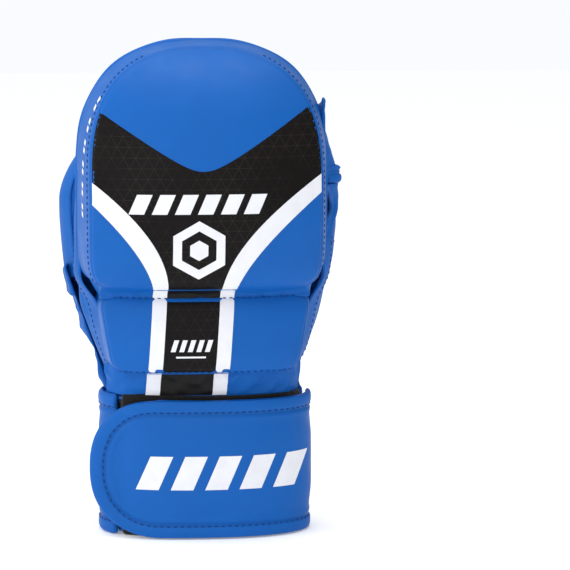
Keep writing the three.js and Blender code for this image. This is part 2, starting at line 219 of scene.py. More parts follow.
def sheet(name, middle, thickness, material, relief=None, flip=False):
    """A closed sheet with rolled edges round a grid of middle points, shaped (rows, columns, 3).

    relief is added along the normal on the first face; flip turns the grid over.
    """
    middle = np.asarray(middle, float)
    if flip:
        middle = middle[:, ::-1]
        relief = None if relief is None else relief[:, ::-1]
    rows, columns = middle.shape[:2]
    along = np.gradient(middle, axis=1)
    up = np.gradient(middle, axis=0)
    normal = unit(np.cross(along, up))
    along, up = unit(along), unit(up)
    front = middle + normal * (thickness / 2)
    if relief is not None:
        front = front + normal * relief[..., None]
    back = middle - normal * (thickness / 2)
    points = list(front.reshape(-1, 3)) + list(back.reshape(-1, 3))
    faces = []
    count = rows * columns
    for j in range(rows - 1):
        for i in range(columns - 1):
            a, b = j * columns + i, j * columns + i + 1
            c, d = b + columns, a + columns
            faces.append((a, b, c, d))
            faces.append((count + d, count + c, count + b, count + a))

    # The edge is rolled over between the two faces, all round the boundary.
    bottom = [(i, -up[0, i]) for i in range(columns)]
    right = [(j * columns + columns - 1, along[j, -1]) for j in range(rows)]
    top = [((rows - 1) * columns + i, up[-1, i]) for i in range(columns)][::-1]
    left = [(j * columns, -along[j, 0]) for j in range(rows)][::-1]
    loop = bottom[:-1] + right[:-1] + top[:-1] + left[:-1]
    edge = len(points)
    points += [middle.reshape(-1, 3)[index] + outward * (thickness / 2) for index, outward in loop]
    for k, (a, _) in enumerate(loop):
        n = (k + 1) % len(loop)
        b = loop[n][0]
        faces.append((a, edge + k, edge + n, b))
        faces.append((edge + k, count + a, count + b, edge + n))
    return subdivide(face_outwards(mesh_piece(name, points, faces, material)))


def frames_along(path, normals=None):
    """Tangent, normal and side direction at each point of a path."""
    tangent = unit(np.gradient(path, axis=0))
    if normals is None:
        start = np.cross(tangent[0], (0.0, 0.0, 1.0))
        if np.linalg.norm(start) < 0.1:
            start = np.cross(tangent[0], (0.0, 1.0, 0.0))
        current = unit(start)
        made = []
        for t in tangent:
            current = unit(current - t * current.dot(t))
            made.append(current)
        normals = np.array(made)
    else:
        normals = unit(normals - tangent * np.sum(normals * tangent, axis=1, keepdims=True))
    return tangent, normals, np.cross(tangent, normals)


def tube(name, path, radius, material, sides=10, normals=None, flat=1.0):
    """A cord along a path; radius may vary along it, and flat scales it along the normals."""
    path = np.asarray(path, float)
    _, normal, side = frames_along(path, normals)
    radius = np.broadcast_to(np.asarray(radius, float), (len(path),))
    points = []
    for k, centre in enumerate(path):
        for s in range(sides):
            angle = 2 * math.pi * s / sides
            around = flat * math.cos(angle) * normal[k] + math.sin(angle) * side[k]
            points.append(centre + radius[k] * around)
    faces = []
    for k in range(len(path) - 1):
        for s in range(sides):
            e = (s + 1) % sides
            faces.append((k * sides + s, k * sides + e, (k + 1) * sides + e, (k + 1) * sides + s))
    faces.append(tuple(range(sides))[::-1])
    faces.append(tuple((len(path) - 1) * sides + s for s in range(sides)))
    return face_outwards(mesh_piece(name, points, faces, material))


def join(name, pieces):
    """Joins mesh objects into one, keeping their materials."""
    bpy.ops.object.select_all(action="DESELECT")
    for piece in pieces:
        piece.select_set(True)
    bpy.context.view_layer.objects.active = pieces[0]
    if len(pieces) > 1:
        bpy.ops.object.join()
    pieces[0].name = name
    pieces[0].data.name = name
    return pieces[0]


def stitch_row(path, normals, pitch=3.7, length=2.6, radius=0.42):
    """Points and faces of a row of stitches: short threads that dip into the leather at both ends."""
    path = np.asarray(path, float)
    count = max(2, int(path_length(path) / pitch))
    dense = resample(np.hstack([path, normals]), count + 1)
    places, ups = dense[:, :3], unit(dense[:, 3:])
    tangent, normal, _ = frames_along(places, ups)
    rings, sides = 5, 6
    points, faces = [], []
    for k in range(count + 1):
        along = tangent[k]
        across = np.cross(along, normal[k])
        base = len(points)
        for r in range(rings):
            t = 2 * r / (rings - 1) - 1
            thick = radius * math.sqrt(max(0.06, 1 - t * t))
            centre = places[k] + along * (t * length / 2) + normal[k] * (0.32 - 0.7 * t * t) * radius
            for s in range(sides):
                angle = 2 * math.pi * s / sides
                points.append(centre + thick * (math.cos(angle) * normal[k] + math.sin(angle) * across))
        for r in range(rings - 1):
            for s in range(sides):
                e = (s + 1) % sides
                a, b = base + r * sides + s, base + r * sides + e
                faces.append((a, b, b + sides, a + sides))
        faces.append(tuple(base + s for s in range(sides))[::-1])
        faces.append(tuple(base + (rings - 1) * sides + s for s in range(sides)))
    return points, faces


def stitches(name, rows, material, **options):
    """One piece holding several rows of stitches; each row is (path, normals)."""
    points, faces = [], []
    for path, normals in rows:
        row_points, row_faces = stitch_row(path, normals, **options)
        base = len(points)
        points += row_points
        faces += [tuple(base + i for i in face) for face in row_faces]
    return mesh_piece(name, points, faces, material)


def surface_tree(*objs):
    """A search tree over the evaluated meshes of some pieces, in millimetres."""
    depsgraph = bpy.context.evaluated_depsgraph_get()
    points, faces = [], []
    for obj in objs:
        mesh = obj.evaluated_get(depsgraph).to_mesh()
        base = len(points)
        points += [v.co / MM for v in mesh.vertices]
        faces += [[base + i for i in p.vertices] for p in mesh.polygons]
        obj.evaluated_get(depsgraph).to_mesh_clear()
    return BVHTree.FromPolygons(points, faces)


def drop(tree, x, z, towards=1.0, lift=0.0):
    """The point of a surface met along the view from the back of the hand (or the palm), and its normal."""
    hit, normal, _, _ = tree.ray_cast(Vector((x, -300.0 * towards, z)), Vector((0, towards, 0)))
    if hit is None:
        return None, None
    if normal.y * towards > 0:
        normal = -normal
    return np.array(hit + normal * lift), np.array(normal)


def settle(tree, points, lift=0.0):
    """The nearest points of a surface, lifted along its normals, and those normals."""
    placed, normals = [], []
    for p in points:
        hit, normal, _, _ = tree.find_nearest(Vector(p))
        placed.append(np.array(hit + normal * lift))
        normals.append(np.array(normal))
    return np.array(placed), np.array(normals)


def holds(loop, point):
    """Whether a flat outline holds a point."""
    inside = False
    for (ax, ay), (bx, by) in zip(loop, loop[1:] + loop[:1]):
        if (ay > point.y) != (by > point.y) and point.x < (bx - ax) * (point.y - ay) / (by - ay) + ax:
            inside = not inside
    return inside


def printed(name, loops, place, material, spacing=2.4):
    """A thin print: flat outlines, meshed evenly, and laid on a surface by place(s, t)."""
    flat = []
    edges = []
    for loop in loops:
        dense = []
        for k, start in enumerate(loop):
            end = loop[(k + 1) % len(loop)]
            steps = max(1, int(math.dist(start, end) / spacing))
            for m in range(steps):
                dense.append(Vector(start).lerp(Vector(end), m / steps))
        base = len(flat)
        flat += dense
        edges += [(base + k, base + (k + 1) % len(dense)) for k in range(len(dense))]
    low = np.min([list(p) for p in flat], axis=0)
    high = np.max([list(p) for p in flat], axis=0)
    for j, t in enumerate(np.arange(low[1] + spacing / 2, high[1], spacing * 0.87)):
        for s in np.arange(low[0] + spacing / 2 * (1 + j % 2), high[0], spacing):
            near = min((Vector((s, t)) - p).length for p in flat)
            if near > spacing * 0.55:
                flat.append(Vector((s, t)))
    made = delaunay_2d_cdt(flat, edges, [], 1, 1e-4)
    points = [place(p.x, p.y) for p in made[0]]
    faces = []
    for face in made[2]:
        middle = sum((made[0][i] for i in face), Vector((0, 0))) / len(face)
        if all(points[i] is not None for i in face) and not any(holds(loop, middle) for loop in loops[1:]):
            faces.append(face)
    points = [p if p is not None else np.zeros(3) for p in points]
    return mesh_piece(name, points, faces, material)


# ---- Materials ----

class Shader:
    """A Principled material with short ways to add nodes."""

    def __init__(self, name, colour, roughness, **inputs):
        self.material = bpy.data.materials.new(name)
        self.material.use_nodes = True
        self.material.diffuse_color = (*colour, 1)
        self.tree = self.material.node_tree
        self.bsdf = self.tree.nodes["Principled BSDF"]
        self.set("Base Color", (*colour, 1))
        self.set("Roughness", roughness)
        for key, value in inputs.items():
            self.set(key.replace("_", " "), value)
        self.place = self.add("ShaderNodeTexCoord").outputs["Object"]
        self.height = None

    def add(self, kind, **settings):
        node = self.tree.nodes.new(kind)
        for key, value in settings.items():
            setattr(node, key, value)
        return node

    def link(self, source, target):
        self.tree.links.new(source, target)

    def put(self, socket, value):
        if isinstance(value, bpy.types.NodeSocket):
            self.link(value, socket)
        else:
            socket.default_value = value

    def set(self, name, value):
        self.put(self.bsdf.inputs[name], value)

    def maths(self, operation, a, b=0.0, clamp=False):
        node = self.add("ShaderNodeMath", operation=operation, use_clamp=clamp)
        self.put(node.inputs[0], a)
        self.put(node.inputs[1], b)
        return node.outputs[0]

    def axes(self):
        node = self.add("ShaderNodeSeparateXYZ")
        self.link(self.place, node.inputs[0])
        return node.outputs

    def noise(self, size, detail=3.0, roughness=0.5, distortion=0.0, stretch=(1, 1, 1)):
        """Noise with features about size millimetres across."""
        mapping = self.add("ShaderNodeMapping")
        mapping.inputs["Scale"].default_value = stretch
        self.link(self.place, mapping.inputs["Vector"])
        node = self.add("ShaderNodeTexNoise")
        self.link(mapping.outputs[0], node.inputs["Vector"])
        node.inputs["Scale"].default_value = 1 / (size * MM)
        node.inputs["Detail"].default_value = detail
        node.inputs["Roughness"].default_value = roughness
        node.inputs["Distortion"].default_value = distortion
        return node.outputs["Fac"]

    def cells(self, size, feature="F1", randomness=1.0):
        node = self.add("ShaderNodeTexVoronoi", feature=feature)
        self.link(self.place, node.inputs["Vector"])
        node.inputs["Scale"].default_value = 1 / (size * MM)
        node.inputs["Randomness"].default_value = randomness
        return node.outputs["Distance"]

    def ramp(self, value, low, high, out_low=0.0, out_high=1.0):
        node = self.add("ShaderNodeMapRange", clamp=True)
        self.put(node.inputs["Value"], value)
        for name, number in (("From Min", low), ("From Max", high), ("To Min", out_low),
                             ("To Max", out_high)):
            node.inputs[name].default_value = number
        return node.outputs[0]

    def mix(self, share, first, second):
        node = self.add("ShaderNodeMix", data_type="RGBA")
        self.put(node.inputs["Factor"], share)
        for socket, colour in ((node.inputs[6], first), (node.inputs[7], second)):
            self.put(socket, colour if isinstance(colour, bpy.types.NodeSocket) else (*colour, 1))
        return node.outputs[2]

    def bump(self, value, depth, strength=1.0):
        """Adds relief: value 0 to 1 over depth millimetres."""
        node = self.add("ShaderNodeBump")
        node.inputs["Strength"].default_value = strength
        node.inputs["Distance"].default_value = depth * MM
        self.put(node.inputs["Height"], value)
        if self.height is not None:
            self.link(self.height, node.inputs["Normal"])
        self.height = node.outputs[0]
        self.link(self.height, self.bsdf.inputs["Normal"])


def shade(colour, factor):
    return tuple(min(1.0, c * factor) for c in colour)


def add_grain(shader, depth=0.05, creases=0.22):
    """The fine pebbled grain of synthetic leather, with faint stretch creases."""
    shader.bump(shader.noise(38, 3, 0.5, 0.6), creases, 0.6)
    shader.bump(shader.noise(6, 4, 0.55, 0.4), 0.06, 0.5)
    shader.bump(shader.cells(0.95, "SMOOTH_F1"), depth, 0.55)
    shader.bump(shader.noise(0.5, 2), depth * 0.35, 0.45)


def leather(name, colour, roughness=0.46, creases=0.22, wear=0.5):
    shader = Shader(name, colour, roughness, Specular_IOR_Level=0.16)
    broad = shader.ramp(shader.noise(55, 3), 0.3, 0.7)
    fine = shader.ramp(shader.noise(7, 5, 0.6), 0.35, 0.65)
    toned = shader.mix(broad, shade(colour, 0.93), shade(colour, 1.06))
    toned = shader.mix(shader.maths("MULTIPLY", fine, 0.35), toned, shade(colour, 0.9))
    pores = shader.ramp(shader.cells(0.95), 0.0, 0.22, 0.14, 0.0)
    toned = shader.mix(pores, toned, shade(colour, 0.45))
    edge = shader.add("ShaderNodeNewGeometry").outputs["Pointiness"]
    worn = shader.maths("MULTIPLY", shader.ramp(edge, 0.52, 0.6), shader.ramp(shader.noise(4, 4), 0.42, 0.7))
    pale = tuple(c + (1 - c) * 0.09 for c in colour)
    toned = shader.mix(shader.maths("MULTIPLY", worn, wear), toned, pale)
    # Painted shade: the colour darkens towards 0.4 of itself in hollows and creases, where the surface curves
    # inwards.
    hollow_shade = shader.maths("MULTIPLY", shader.ramp(edge, 0.5, 0.42), 0.3)
    toned = shader.mix(hollow_shade, toned, shade(colour, 0.4))
    shader.set("Base Color", toned)
    shader.set("Roughness", shader.ramp(shader.noise(13, 4), 0.3, 0.7, roughness - 0.05, roughness + 0.09))
    add_grain(shader, creases=creases)
    return shader.material


def triangle_print(name, colour, line_colour, side):
    """Black ink on leather, with a faint net of triangles."""
    shader = Shader(name, colour, 0.36, Specular_IOR_Level=0.09)
    x, _, z = shader.axes()
    height = side * math.sqrt(3) / 2
    families = []
    for sideways in (0.0, 0.8660254, -0.8660254):
        upright = 1.0 if sideways == 0 else 0.5
        across = shader.maths("MULTIPLY", x, sideways / (height * MM))
        along = shader.maths("MULTIPLY", z, upright / (height * MM))
        share = shader.maths("FRACT", shader.maths("ADD", across, along))
        from_line = shader.maths("ABSOLUTE", shader.maths("SUBTRACT", share, 0.5))
        families.append(shader.ramp(from_line, 0.455, 0.485))
    lines = shader.maths("MAXIMUM", families[0], shader.maths("MAXIMUM", families[1], families[2]))
    faded = shader.ramp(shader.noise(26, 2), 0.36, 0.62, 0.1, 0.9)
    toned = shader.mix(shader.ramp(shader.noise(40, 3), 0.3, 0.7), colour, shade(colour, 1.5))
    shader.set("Base Color", shader.mix(shader.maths("MULTIPLY", lines, faded), toned, line_colour))
    shader.set("Roughness", shader.ramp(shader.noise(13, 4), 0.3, 0.7, 0.31, 0.43))
    add_grain(shader)
    return shader.material


def ink(name, colour, roughness=0.42):
    """Flat ink that still shows the leather's grain."""
    shader = Shader(name, colour, roughness, Specular_IOR_Level=0.16)
    toned = shader.mix(shader.ramp(shader.noise(9, 5, 0.6), 0.35, 0.7), colour, shade(colour, 0.93))
    pores = shader.ramp(shader.cells(0.95), 0.0, 0.2, 0.16, 0.0)
    shader.set("Base Color", shader.mix(pores, toned, shade(colour, 0.6)))
    shader.set("Roughness", shader.ramp(shader.noise(11, 4), 0.3, 0.7, roughness - 0.05, roughness + 0.08))
    add_grain(shader)
    return shader.material


def ribbed_mesh(name, colour, pitch=1.15):
    """Lining cloth: fine crosswise ribs, with small open cells between them."""
    shader = Shader(name, colour, 0.86, Sheen_Weight=0.25, Sheen_Roughness=0.5, Specular_IOR_Level=0.2)
    x, _, z = shader.axes()
    wobble = shader.maths("MULTIPLY", shader.noise(14, 2), 0.5)
    rib = shader.maths("SINE", shader.maths("ADD", shader.maths("MULTIPLY", z, 2 * math.pi / (pitch * MM)),
                                            wobble))
    knit = shader.maths("SINE", shader.maths("MULTIPLY", x, 2 * math.pi / (0.8 * pitch * MM)))
    rib = shader.ramp(rib, -1, 1)
    knit = shader.ramp(knit, -1, 1)
    weave = shader.maths("MULTIPLY", rib, shader.maths("ADD", 0.65, shader.maths("MULTIPLY", knit, 0.35)))
    lint = shader.ramp(shader.noise(3.2, 5, 0.7), 0.35, 0.75)
    toned = shader.mix(weave, shade(colour, 0.72), shade(colour, 1.35))
    toned = shader.mix(shader.maths("MULTIPLY", lint, 0.3), toned, shade(colour, 2.0))
    shader.set("Base Color", toned)
    shader.bump(shader.noise(30, 3), 0.5, 0.5)
    shader.bump(weave, 0.16, 0.6)
    shader.bump(shader.noise(0.4, 3), 0.1, 0.5)
    return shader.material


def pile(name, colour, size=0.7, depth=0.5, contrast=2.4, sheen=0.5):
    """Brushed suede or loop pile."""
    shader = Shader(name, colour, 0.92, Sheen_Weight=sheen, Sheen_Roughness=0.4, Specular_IOR_Level=0.15)
    tufts = shader.ramp(shader.noise(size, 4, 0.65, 0.8), 0.32, 0.68)
    clumps = shader.ramp(shader.noise(size * 7, 3), 0.35, 0.65)
    toned = shader.mix(tufts, shade(colour, 1 / contrast), shade(colour, contrast * 0.62))
    shader.set("Base Color", shader.mix(shader.maths("MULTIPLY", clumps, 0.4), toned, shade(colour, 0.6)))
    shader.bump(clumps, depth, 0.5)
    shader.bump(tufts, depth * 0.6, 0.9)
    return shader.material


def hook_tape(name, colour):
    shader = Shader(name, colour, 0.55, Specular_IOR_Level=0.4)
    dots = shader.ramp(shader.cells(1.3, "F1", 0.25), 0.1, 0.5)
    shader.set("Base Color", shader.mix(dots, shade(colour, 3.0), shade(colour, 0.6)))
    shader.bump(dots, 0.7, 1.0)
    shader.bump(shader.noise(0.4, 3), 0.12, 0.5)
    return shader.material


def thread(name, colour):
    shader = Shader(name, colour, 0.62, Specular_IOR_Level=0.2)
    twist = shader.ramp(shader.noise(0.45, 3, 0.6, 1.2), 0.3, 0.7)
    shader.set("Base Color", shader.mix(twist, shade(colour, 0.55), shade(colour, 1.25)))
    shader.bump(twist, 0.12, 0.8)
    return shader.material


def foam(name, colour):
    shader = Shader(name, colour, 0.95, Specular_IOR_Level=0.2)
    pits = shader.ramp(shader.cells(1.1), 0.05, 0.55)
    shader.set("Base Color", shader.mix(pits, shade(colour, 0.5), shade(colour, 1.4)))
    shader.bump(pits, 0.35, 0.8)
    shader.bump(shader.noise(9, 3), 0.4, 0.4)
    return shader.material


BLUE_TONE = (0.003, 0.098, 0.39)
BLUE = leather("blue_leather", BLUE_TONE)
SOFT_BLUE = leather("blue_leather_creased", BLUE_TONE, roughness=0.54, creases=0.55)
BINDING = leather("blue_binding", shade(BLUE_TONE, 1.02), roughness=0.5, creases=0.12, wear=0.8)
BLACK_PRINT = triangle_print("black_print", (0.0045, 0.0036, 0.0033), (0.020, 0.017, 0.015), 6.4)
BLACK_LEATHER = leather("black_leather", (0.006, 0.0055, 0.0055), roughness=0.42, creases=0.5, wear=0.25)
WHITE_PRINT = ink("white_print", (0.76, 0.765, 0.80))
LINER = ribbed_mesh("dark_mesh_lining", (0.030, 0.025, 0.017))
SUEDE = pile("blue_suede", (0.012, 0.12, 0.46), size=0.8, depth=0.6)
LOOP = pile("black_loop_pile", (0.016, 0.014, 0.013), size=0.5, depth=0.35, contrast=1.8, sheen=0.25)
HOOK = hook_tape("black_hook_tape", (0.012, 0.012, 0.013))
THREAD = thread("navy_thread", (0.005, 0.048, 0.22))
FOAM = foam("grey_foam", (0.055, 0.055, 0.06))
BADGE_BLACK = ink("badge_black", (0.022, 0.021, 0.023), 0.5)
BADGE_PALE = ink("badge_pale", (0.62, 0.60, 0.56), 0.5)


# ---- Padded bodies ----

def concentric(n):
    """Radius and angle, on a unit disc, of every point of a square grid folded onto the disc."""
    a, b = np.meshgrid(np.linspace(-1, 1, n + 1), np.linspace(-1, 1, n + 1))
    wide = np.abs(a) >= np.abs(b)
    radius = np.where(wide, np.abs(a), np.abs(b))
    safe_a = np.where(a == 0, 1, a)
    safe_b = np.where(b == 0, 1, b)
    flat_angle = math.pi / 4 * b / safe_a + np.where(a < 0, math.pi, 0)
    steep_angle = math.pi / 2 - math.pi / 4 * a / safe_b + np.where(b < 0, math.pi, 0)
    return radius, np.where(wide, flat_angle, steep_angle)


def rim_indices(n):
    """The outer ring of an (n + 1) by (n + 1) grid, in order."""
    side = n + 1
    bottom = [i for i in range(n)]
    right = [j * side + n for j in range(n)]
    top = [n * side + i for i in range(n, 0, -1)]
    left = [j * side for j in range(n, 0, -1)]
    return bottom + right + top + left


def superellipse(angle, half_width, upper, lower, upper_power, lower_power):
    half = np.where(np.sin(angle) >= 0, upper, lower)
    power = np.where(np.sin(angle) >= 0, upper_power, lower_power)
    wide = (np.abs(np.cos(angle)) / half_width) ** power
    tall = (np.abs(np.sin(angle)) / half) ** power
    reach = (wide + tall) ** (-1 / power)
    return reach * np.cos(angle), reach * np.sin(angle)


KNUCKLE_CENTRE = 200.0
KNUCKLE_BULGE = 178.0
HOLLOW_Z = 185.0
CORNER_POWER = 11.0
HAND_WIDTH = 57.0
HAND_TAPER = 0.0032  # the pad and the hand widen upwards by this share per millimetre
HAND_CENTRE = (HAND_LOW[2] + HAND_HIGH[2]) / 2
HAND_HALF = (HAND_HIGH[2] - HAND_LOW[2]) / 2


def knuckle_outline(angle, flare, inset=0.0):
    side = HALF_WIDTH - SEAM_INSET * (1 - flare) - inset
    upper = PAD_TOP - KNUCKLE_CENTRE - SEAM_INSET / 2 * (1 - flare) - inset
    lower = KNUCKLE_CENTRE - KNUCKLE_LOW[2] - inset
    x, z = superellipse(angle, side, upper, lower, 2.5, CORNER_POWER)
    return x, z + KNUCKLE_CENTRE


def knuckle_half_width(z):
    """Half-width of the pad's front seam at a height."""
    up = z >= KNUCKLE_CENTRE
    half = np.where(up, PAD_TOP - KNUCKLE_CENTRE - SEAM_INSET / 2, KNUCKLE_CENTRE - KNUCKLE_LOW[2])
    power = np.where(up, 2.5, CORNER_POWER)
    share = np.clip(np.abs(z - KNUCKLE_CENTRE) / half, 0, 1)
    return (HALF_WIDTH - SEAM_INSET) * (1 - share**power) ** (1 / power)


def knuckle_front(x, z):
    rise = np.clip((z - KNUCKLE_BULGE) / (PAD_TOP + 1 - KNUCKLE_BULGE), 0, 1)
    dome = 6 + (KNUCKLE_LOW[1] - 6) * np.sqrt(1 - rise * rise)
    sink = 7 * (np.clip(KNUCKLE_BULGE - z, 0, None) / 40) ** 2
    sweep = 14 * (np.abs(x) / HALF_WIDTH) ** 2.6
    rolled = 5 * np.exp(-np.clip(z - KNUCKLE_LOW[2], 0, None) / 3.5)
    return dome + sink + sweep + rolled


def knuckle_back(x, z):
    rise = np.clip((z - HOLLOW_Z) / (PAD_TOP + 1 - HOLLOW_Z), 0, 1)
    return 18 - 34 * np.sqrt(1 - rise * rise) + 12 * (np.abs(x) / HALF_WIDTH) ** 3


def hand_outline(angle, flare):
    width = HAND_WIDTH - SEAM_INSET / 2 * (1 - flare)
    x, z = superellipse(angle, width, HAND_HALF, HAND_HALF, 9, 9)
    return x * (1 + HAND_TAPER * z), z + HAND_CENTRE


def hand_front(x, z):
    edge = (np.abs(z - HAND_CENTRE) / HAND_HALF) ** 4
    return HAND_LOW[1] + 9 * (np.abs(x) / 56) ** 2.6 + 5 * edge


def hand_back(x, z):
    return -15 + 8 * (np.abs(x) / 56) ** 3


def pad_body(outline, centre, front, back, n, shares):
    """Points, faces and pinned rings of a pad: front skin, gusset and back, all closed together."""
    radius, angle = concentric(n)
    radius = 1 - (1 - radius) ** 1.15

    def skin(flare, surface):
        x, z = outline(angle, flare)
        x = radius * x
        z = centre + radius * (z - centre)
        return np.stack([x, surface(x, z), z], axis=-1).reshape(-1, 3)

    ring = rim_indices(n)
    turn = angle.reshape(-1)[ring]
    parts = [skin(0.0, front)]
    for share in shares[:-1]:
        x, z = outline(turn, share)
        parts.append(np.stack([x, (1 - share) * front(x, z) + share * back(x, z), z], axis=-1))
    parts.append(skin(1.0, back))
    points = np.concatenate(parts)
    size = (n + 1) ** 2
    faces = []
    back_start = len(points) - size
    for j in range(n):
        for i in range(n):
            a = j * (n + 1) + i
            quad = (a, a + 1, a + n + 2, a + n + 1)
            faces.append(quad)
            faces.append(tuple(back_start + k for k in quad[::-1]))
    loops = [ring]
    loops += [[size + k * 4 * n + i for i in range(4 * n)] for k in range(len(shares) - 1)]
    loops.append([back_start + i for i in ring])
    for lower, upper in zip(loops, loops[1:]):
        for i in range(4 * n):
            e = (i + 1) % (4 * n)
            faces.append((lower[e], lower[i], upper[i], upper[e]))
    pinned = set(ring) | set(range(back_start, len(points))) | set(loops[-2])
    return points, faces, pinned, loops


def inflate(obj, pinned, pressure, cap):
    """Puffs a closed skin out under pressure with the pinned vertices held, moving none further than cap."""
    before = coordinates(obj)
    group = obj.vertex_groups.new(name="sewn")
    group.add([int(i) for i in pinned], 1.0, "ADD")
    cloth = obj.modifiers.new("Cloth", "CLOTH")
    settings = cloth.settings
    settings.quality = 6
    settings.mass = 0.3
    settings.tension_stiffness = 18
    settings.compression_stiffness = 18
    settings.shear_stiffness = 8
    settings.bending_stiffness = 3
    settings.use_pressure = True
    settings.uniform_pressure_force = pressure
    settings.vertex_group_mass = "sewn"
    settings.effector_weights.gravity = 0
    cloth.point_cache.frame_start = 1
    cloth.point_cache.frame_end = 20
    for number in range(1, 21):
        bpy.context.scene.frame_set(number)
    apply_modifiers(obj)
    bpy.context.scene.frame_set(1)
    moved = coordinates(obj) - before
    length = np.linalg.norm(moved, axis=1, keepdims=True)
    set_coordinates(obj, before + moved * np.minimum(1, cap / np.maximum(length, 1e-6)))
    return obj


def nearest_on(paths, points):
    """Distance from every point to the nearest of some dense paths."""
    dense = np.vstack(paths)
    tree = KDTree(len(dense))
    for i, p in enumerate(dense):
        tree.insert(p, i)
    tree.balance()
    return np.array([tree.find(p)[2] for p in points])


def groove(obj, paths, depth, width):
    """Sinks the surface along some paths, as a tight seam does."""
    points = coordinates(obj)
    distance = nearest_on(paths, points)
    sink = depth * np.exp(-((distance / width) ** 2))
    set_coordinates(obj, points - vertex_normals(obj) * sink[:, None])
    return obj


def build_pad(name, outline, centre, front, back, n, pressure, cap, levels=2):
    shares = [0.06, 0.2, 0.4, 0.6, 0.8, 0.94, 1.0]
    points, faces, pinned, loops = pad_body(outline, centre, front, back, n, shares)
    obj = face_outwards(mesh_piece(name, points, faces, BLUE))
    inflate(obj, pinned, pressure, cap)
    seam = coordinates(obj)[loops[0]]
    subdivide(obj, levels)
    seam = resample(np.vstack([seam, seam[:1]]), 500)
    groove(obj, [seam], 1.0, 1.1)
    return obj


knuckle_pad = build_pad(
    "knuckle_pad", knuckle_outline, KNUCKLE_CENTRE, knuckle_front, knuckle_back, 36, 4.0, 3.5)
hand_pad = build_pad(
    "backhand_pad", hand_outline, HAND_CENTRE, hand_front, hand_back, 28, 4.0, 3.0)


# ---- Riding on the bodies ----

def attach(obj, body, *nodes, slot=None):
    """The piece moves with a CAD body and stands for some CAD nodes."""
    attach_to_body(obj, body)
    if nodes:
        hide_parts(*nodes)
    return obj


def bend(obj, first, second, start, end, *nodes, slot=None):
    """Bakes the piece's transform into its mesh and hides some CAD nodes; it does not bend or attach the piece.
    The two bodies (first, second) and start and end, in millimetres, are not used.
    """
    tuple(np.array(start) * MM)
    tuple(np.array(end) * MM)
    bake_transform(obj)
    if nodes:
        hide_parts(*nodes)
    return obj


def dress(node, material):
    """A CAD node that stays in the model takes a patterned finish."""
    obj = frame["nodes"][node]
    obj.data.materials.clear()
    obj.data.materials.append(material)
    obj.data.shade_smooth()


for foam_node in ("knuckle_pad_impact_foam", "knuckle_pad_comfort_foam", "backhand_pad_foam",
                  "palm_wrist_foam",
                  "dorsal_wrist_foam"):
    dress(foam_node, FOAM)


# ---- Wrist cuff ----

def oval(half_width, half_depth, degrees):
    """Plan point on a wrist oval: 0 is the thumb side, 90 the palm, 180 the little finger, 270 the back."""
    angle = np.radians(degrees)
    x = -half_width * np.sign(np.cos(angle)) * np.abs(np.cos(angle)) ** (1 / 1.2)
    y = half_depth * np.sign(np.sin(angle)) * np.abs(np.sin(angle)) ** (1 / 1.2)
    return np.stack([x, y], axis=-1)


def oval_arc(half_width, half_depth, start, end, count):
    return resample(oval(half_width, half_depth, np.linspace(start, end, 400)), count)


PALM_OVAL = (55.0, 26.0)
LINING_OVAL = (46.5, 17.6)
LOOP_OVAL = (53.6, 24.6)
STRAP_OVAL = (59.0, 30.5)
BACKING_OVAL = (56.6, 28.2)
CUFF_TOP = LOOP_HIGH[2]
CUFF_BOTTOM = PALM_LOW[2]
PALM_RISE = PALM_HIGH[2] - CUFF_TOP


def palm_top(degrees):
    up = smoothstep(degrees, 88, 134)
    down = smoothstep(degrees, 146, 172)
    return CUFF_TOP + PALM_RISE * up * (1 - down)


def band_rows(bottom, top, band=12.0, fine=0.8, middle=12):
    """Heights between two edges, close together near both; bottom and top may be arrays."""
    bottom, top = np.broadcast_arrays(np.asarray(bottom, float), np.asarray(top, float))
    steps = np.arange(0, band, fine)
    rows = [bottom + s for s in steps]
    rows += [bottom + band + (top - bottom - 2 * band) * t for t in np.linspace(0, 1, middle)]
    rows += [top - s for s in steps[::-1]]
    return np.array(rows)


def border_relief(distance, width=7.2):
    """A bound edge: a rolled border, its stitched groove, a second ridge, then the padded field."""
    distance = np.asarray(distance, float)
    roll = np.sqrt(np.clip(1 - (2 * distance / width - 1) ** 2, 0, None)) * (distance < width)
    stitched = -0.75 * bump_at(distance, width + 0.3, 0.75)
    ridge = 0.5 * bump_at(distance, width + 2.6, 1.3)
    field = 0.9 * smoothstep(distance, width + 4, width + 18)
    return 0.9 * roll + stitched + ridge + field


def arc_sheet(name, half_axes, start, end, bottom, top, thickness, material, columns, relief=None, band=12.0,
              fine=0.8, middle=12):
    """A sheet round the wrist; relief(degrees, z, distance to the nearer edge) is added outwards."""
    plan = oval_arc(*half_axes, start, end, columns)
    dense = oval(*half_axes, np.linspace(start, end, 400))
    length = np.concatenate([[0], np.cumsum(np.linalg.norm(np.diff(dense, axis=0), axis=1))])
    degrees = np.interp(np.linspace(0, length[-1], columns), length, np.linspace(start, end, 400))
    low = bottom(degrees) if callable(bottom) else np.full(columns, float(bottom))
    high = top(degrees) if callable(top) else np.full(columns, float(top))
    heights = band_rows(low, high, band, fine, middle)
    grid = upright(plan, heights)
    slope_top = np.cos(np.arctan(np.gradient(high, np.linspace(0, length[-1], columns))))
    distance = np.minimum(heights - low, (high - heights) * slope_top)
    made = relief(np.broadcast_to(degrees, heights.shape), heights, distance) if relief else 0 * heights
    return sheet(name, grid, thickness, material, made, flip=True)


def arc_path(half_axes, start, end, height, count=240, out=3.0):
    """A path round the wrist, a little outside a layer; height(degrees) or a number."""
    degrees = np.linspace(start, end, count)
    plan = oval(half_axes[0] + out, half_axes[1] + out, degrees)
    z = height(degrees) if callable(height) else np.full(count, float(height))
    return np.column_stack([plan, z])


def palm_field(degrees, z, distance):
    gathers = 0.5 * bump_at(z, 12, 9) * np.sin(degrees * 0.9) * smoothstep(np.abs(degrees - 90), 30, 60)
    return border_relief(distance) + 0.15 * gathers


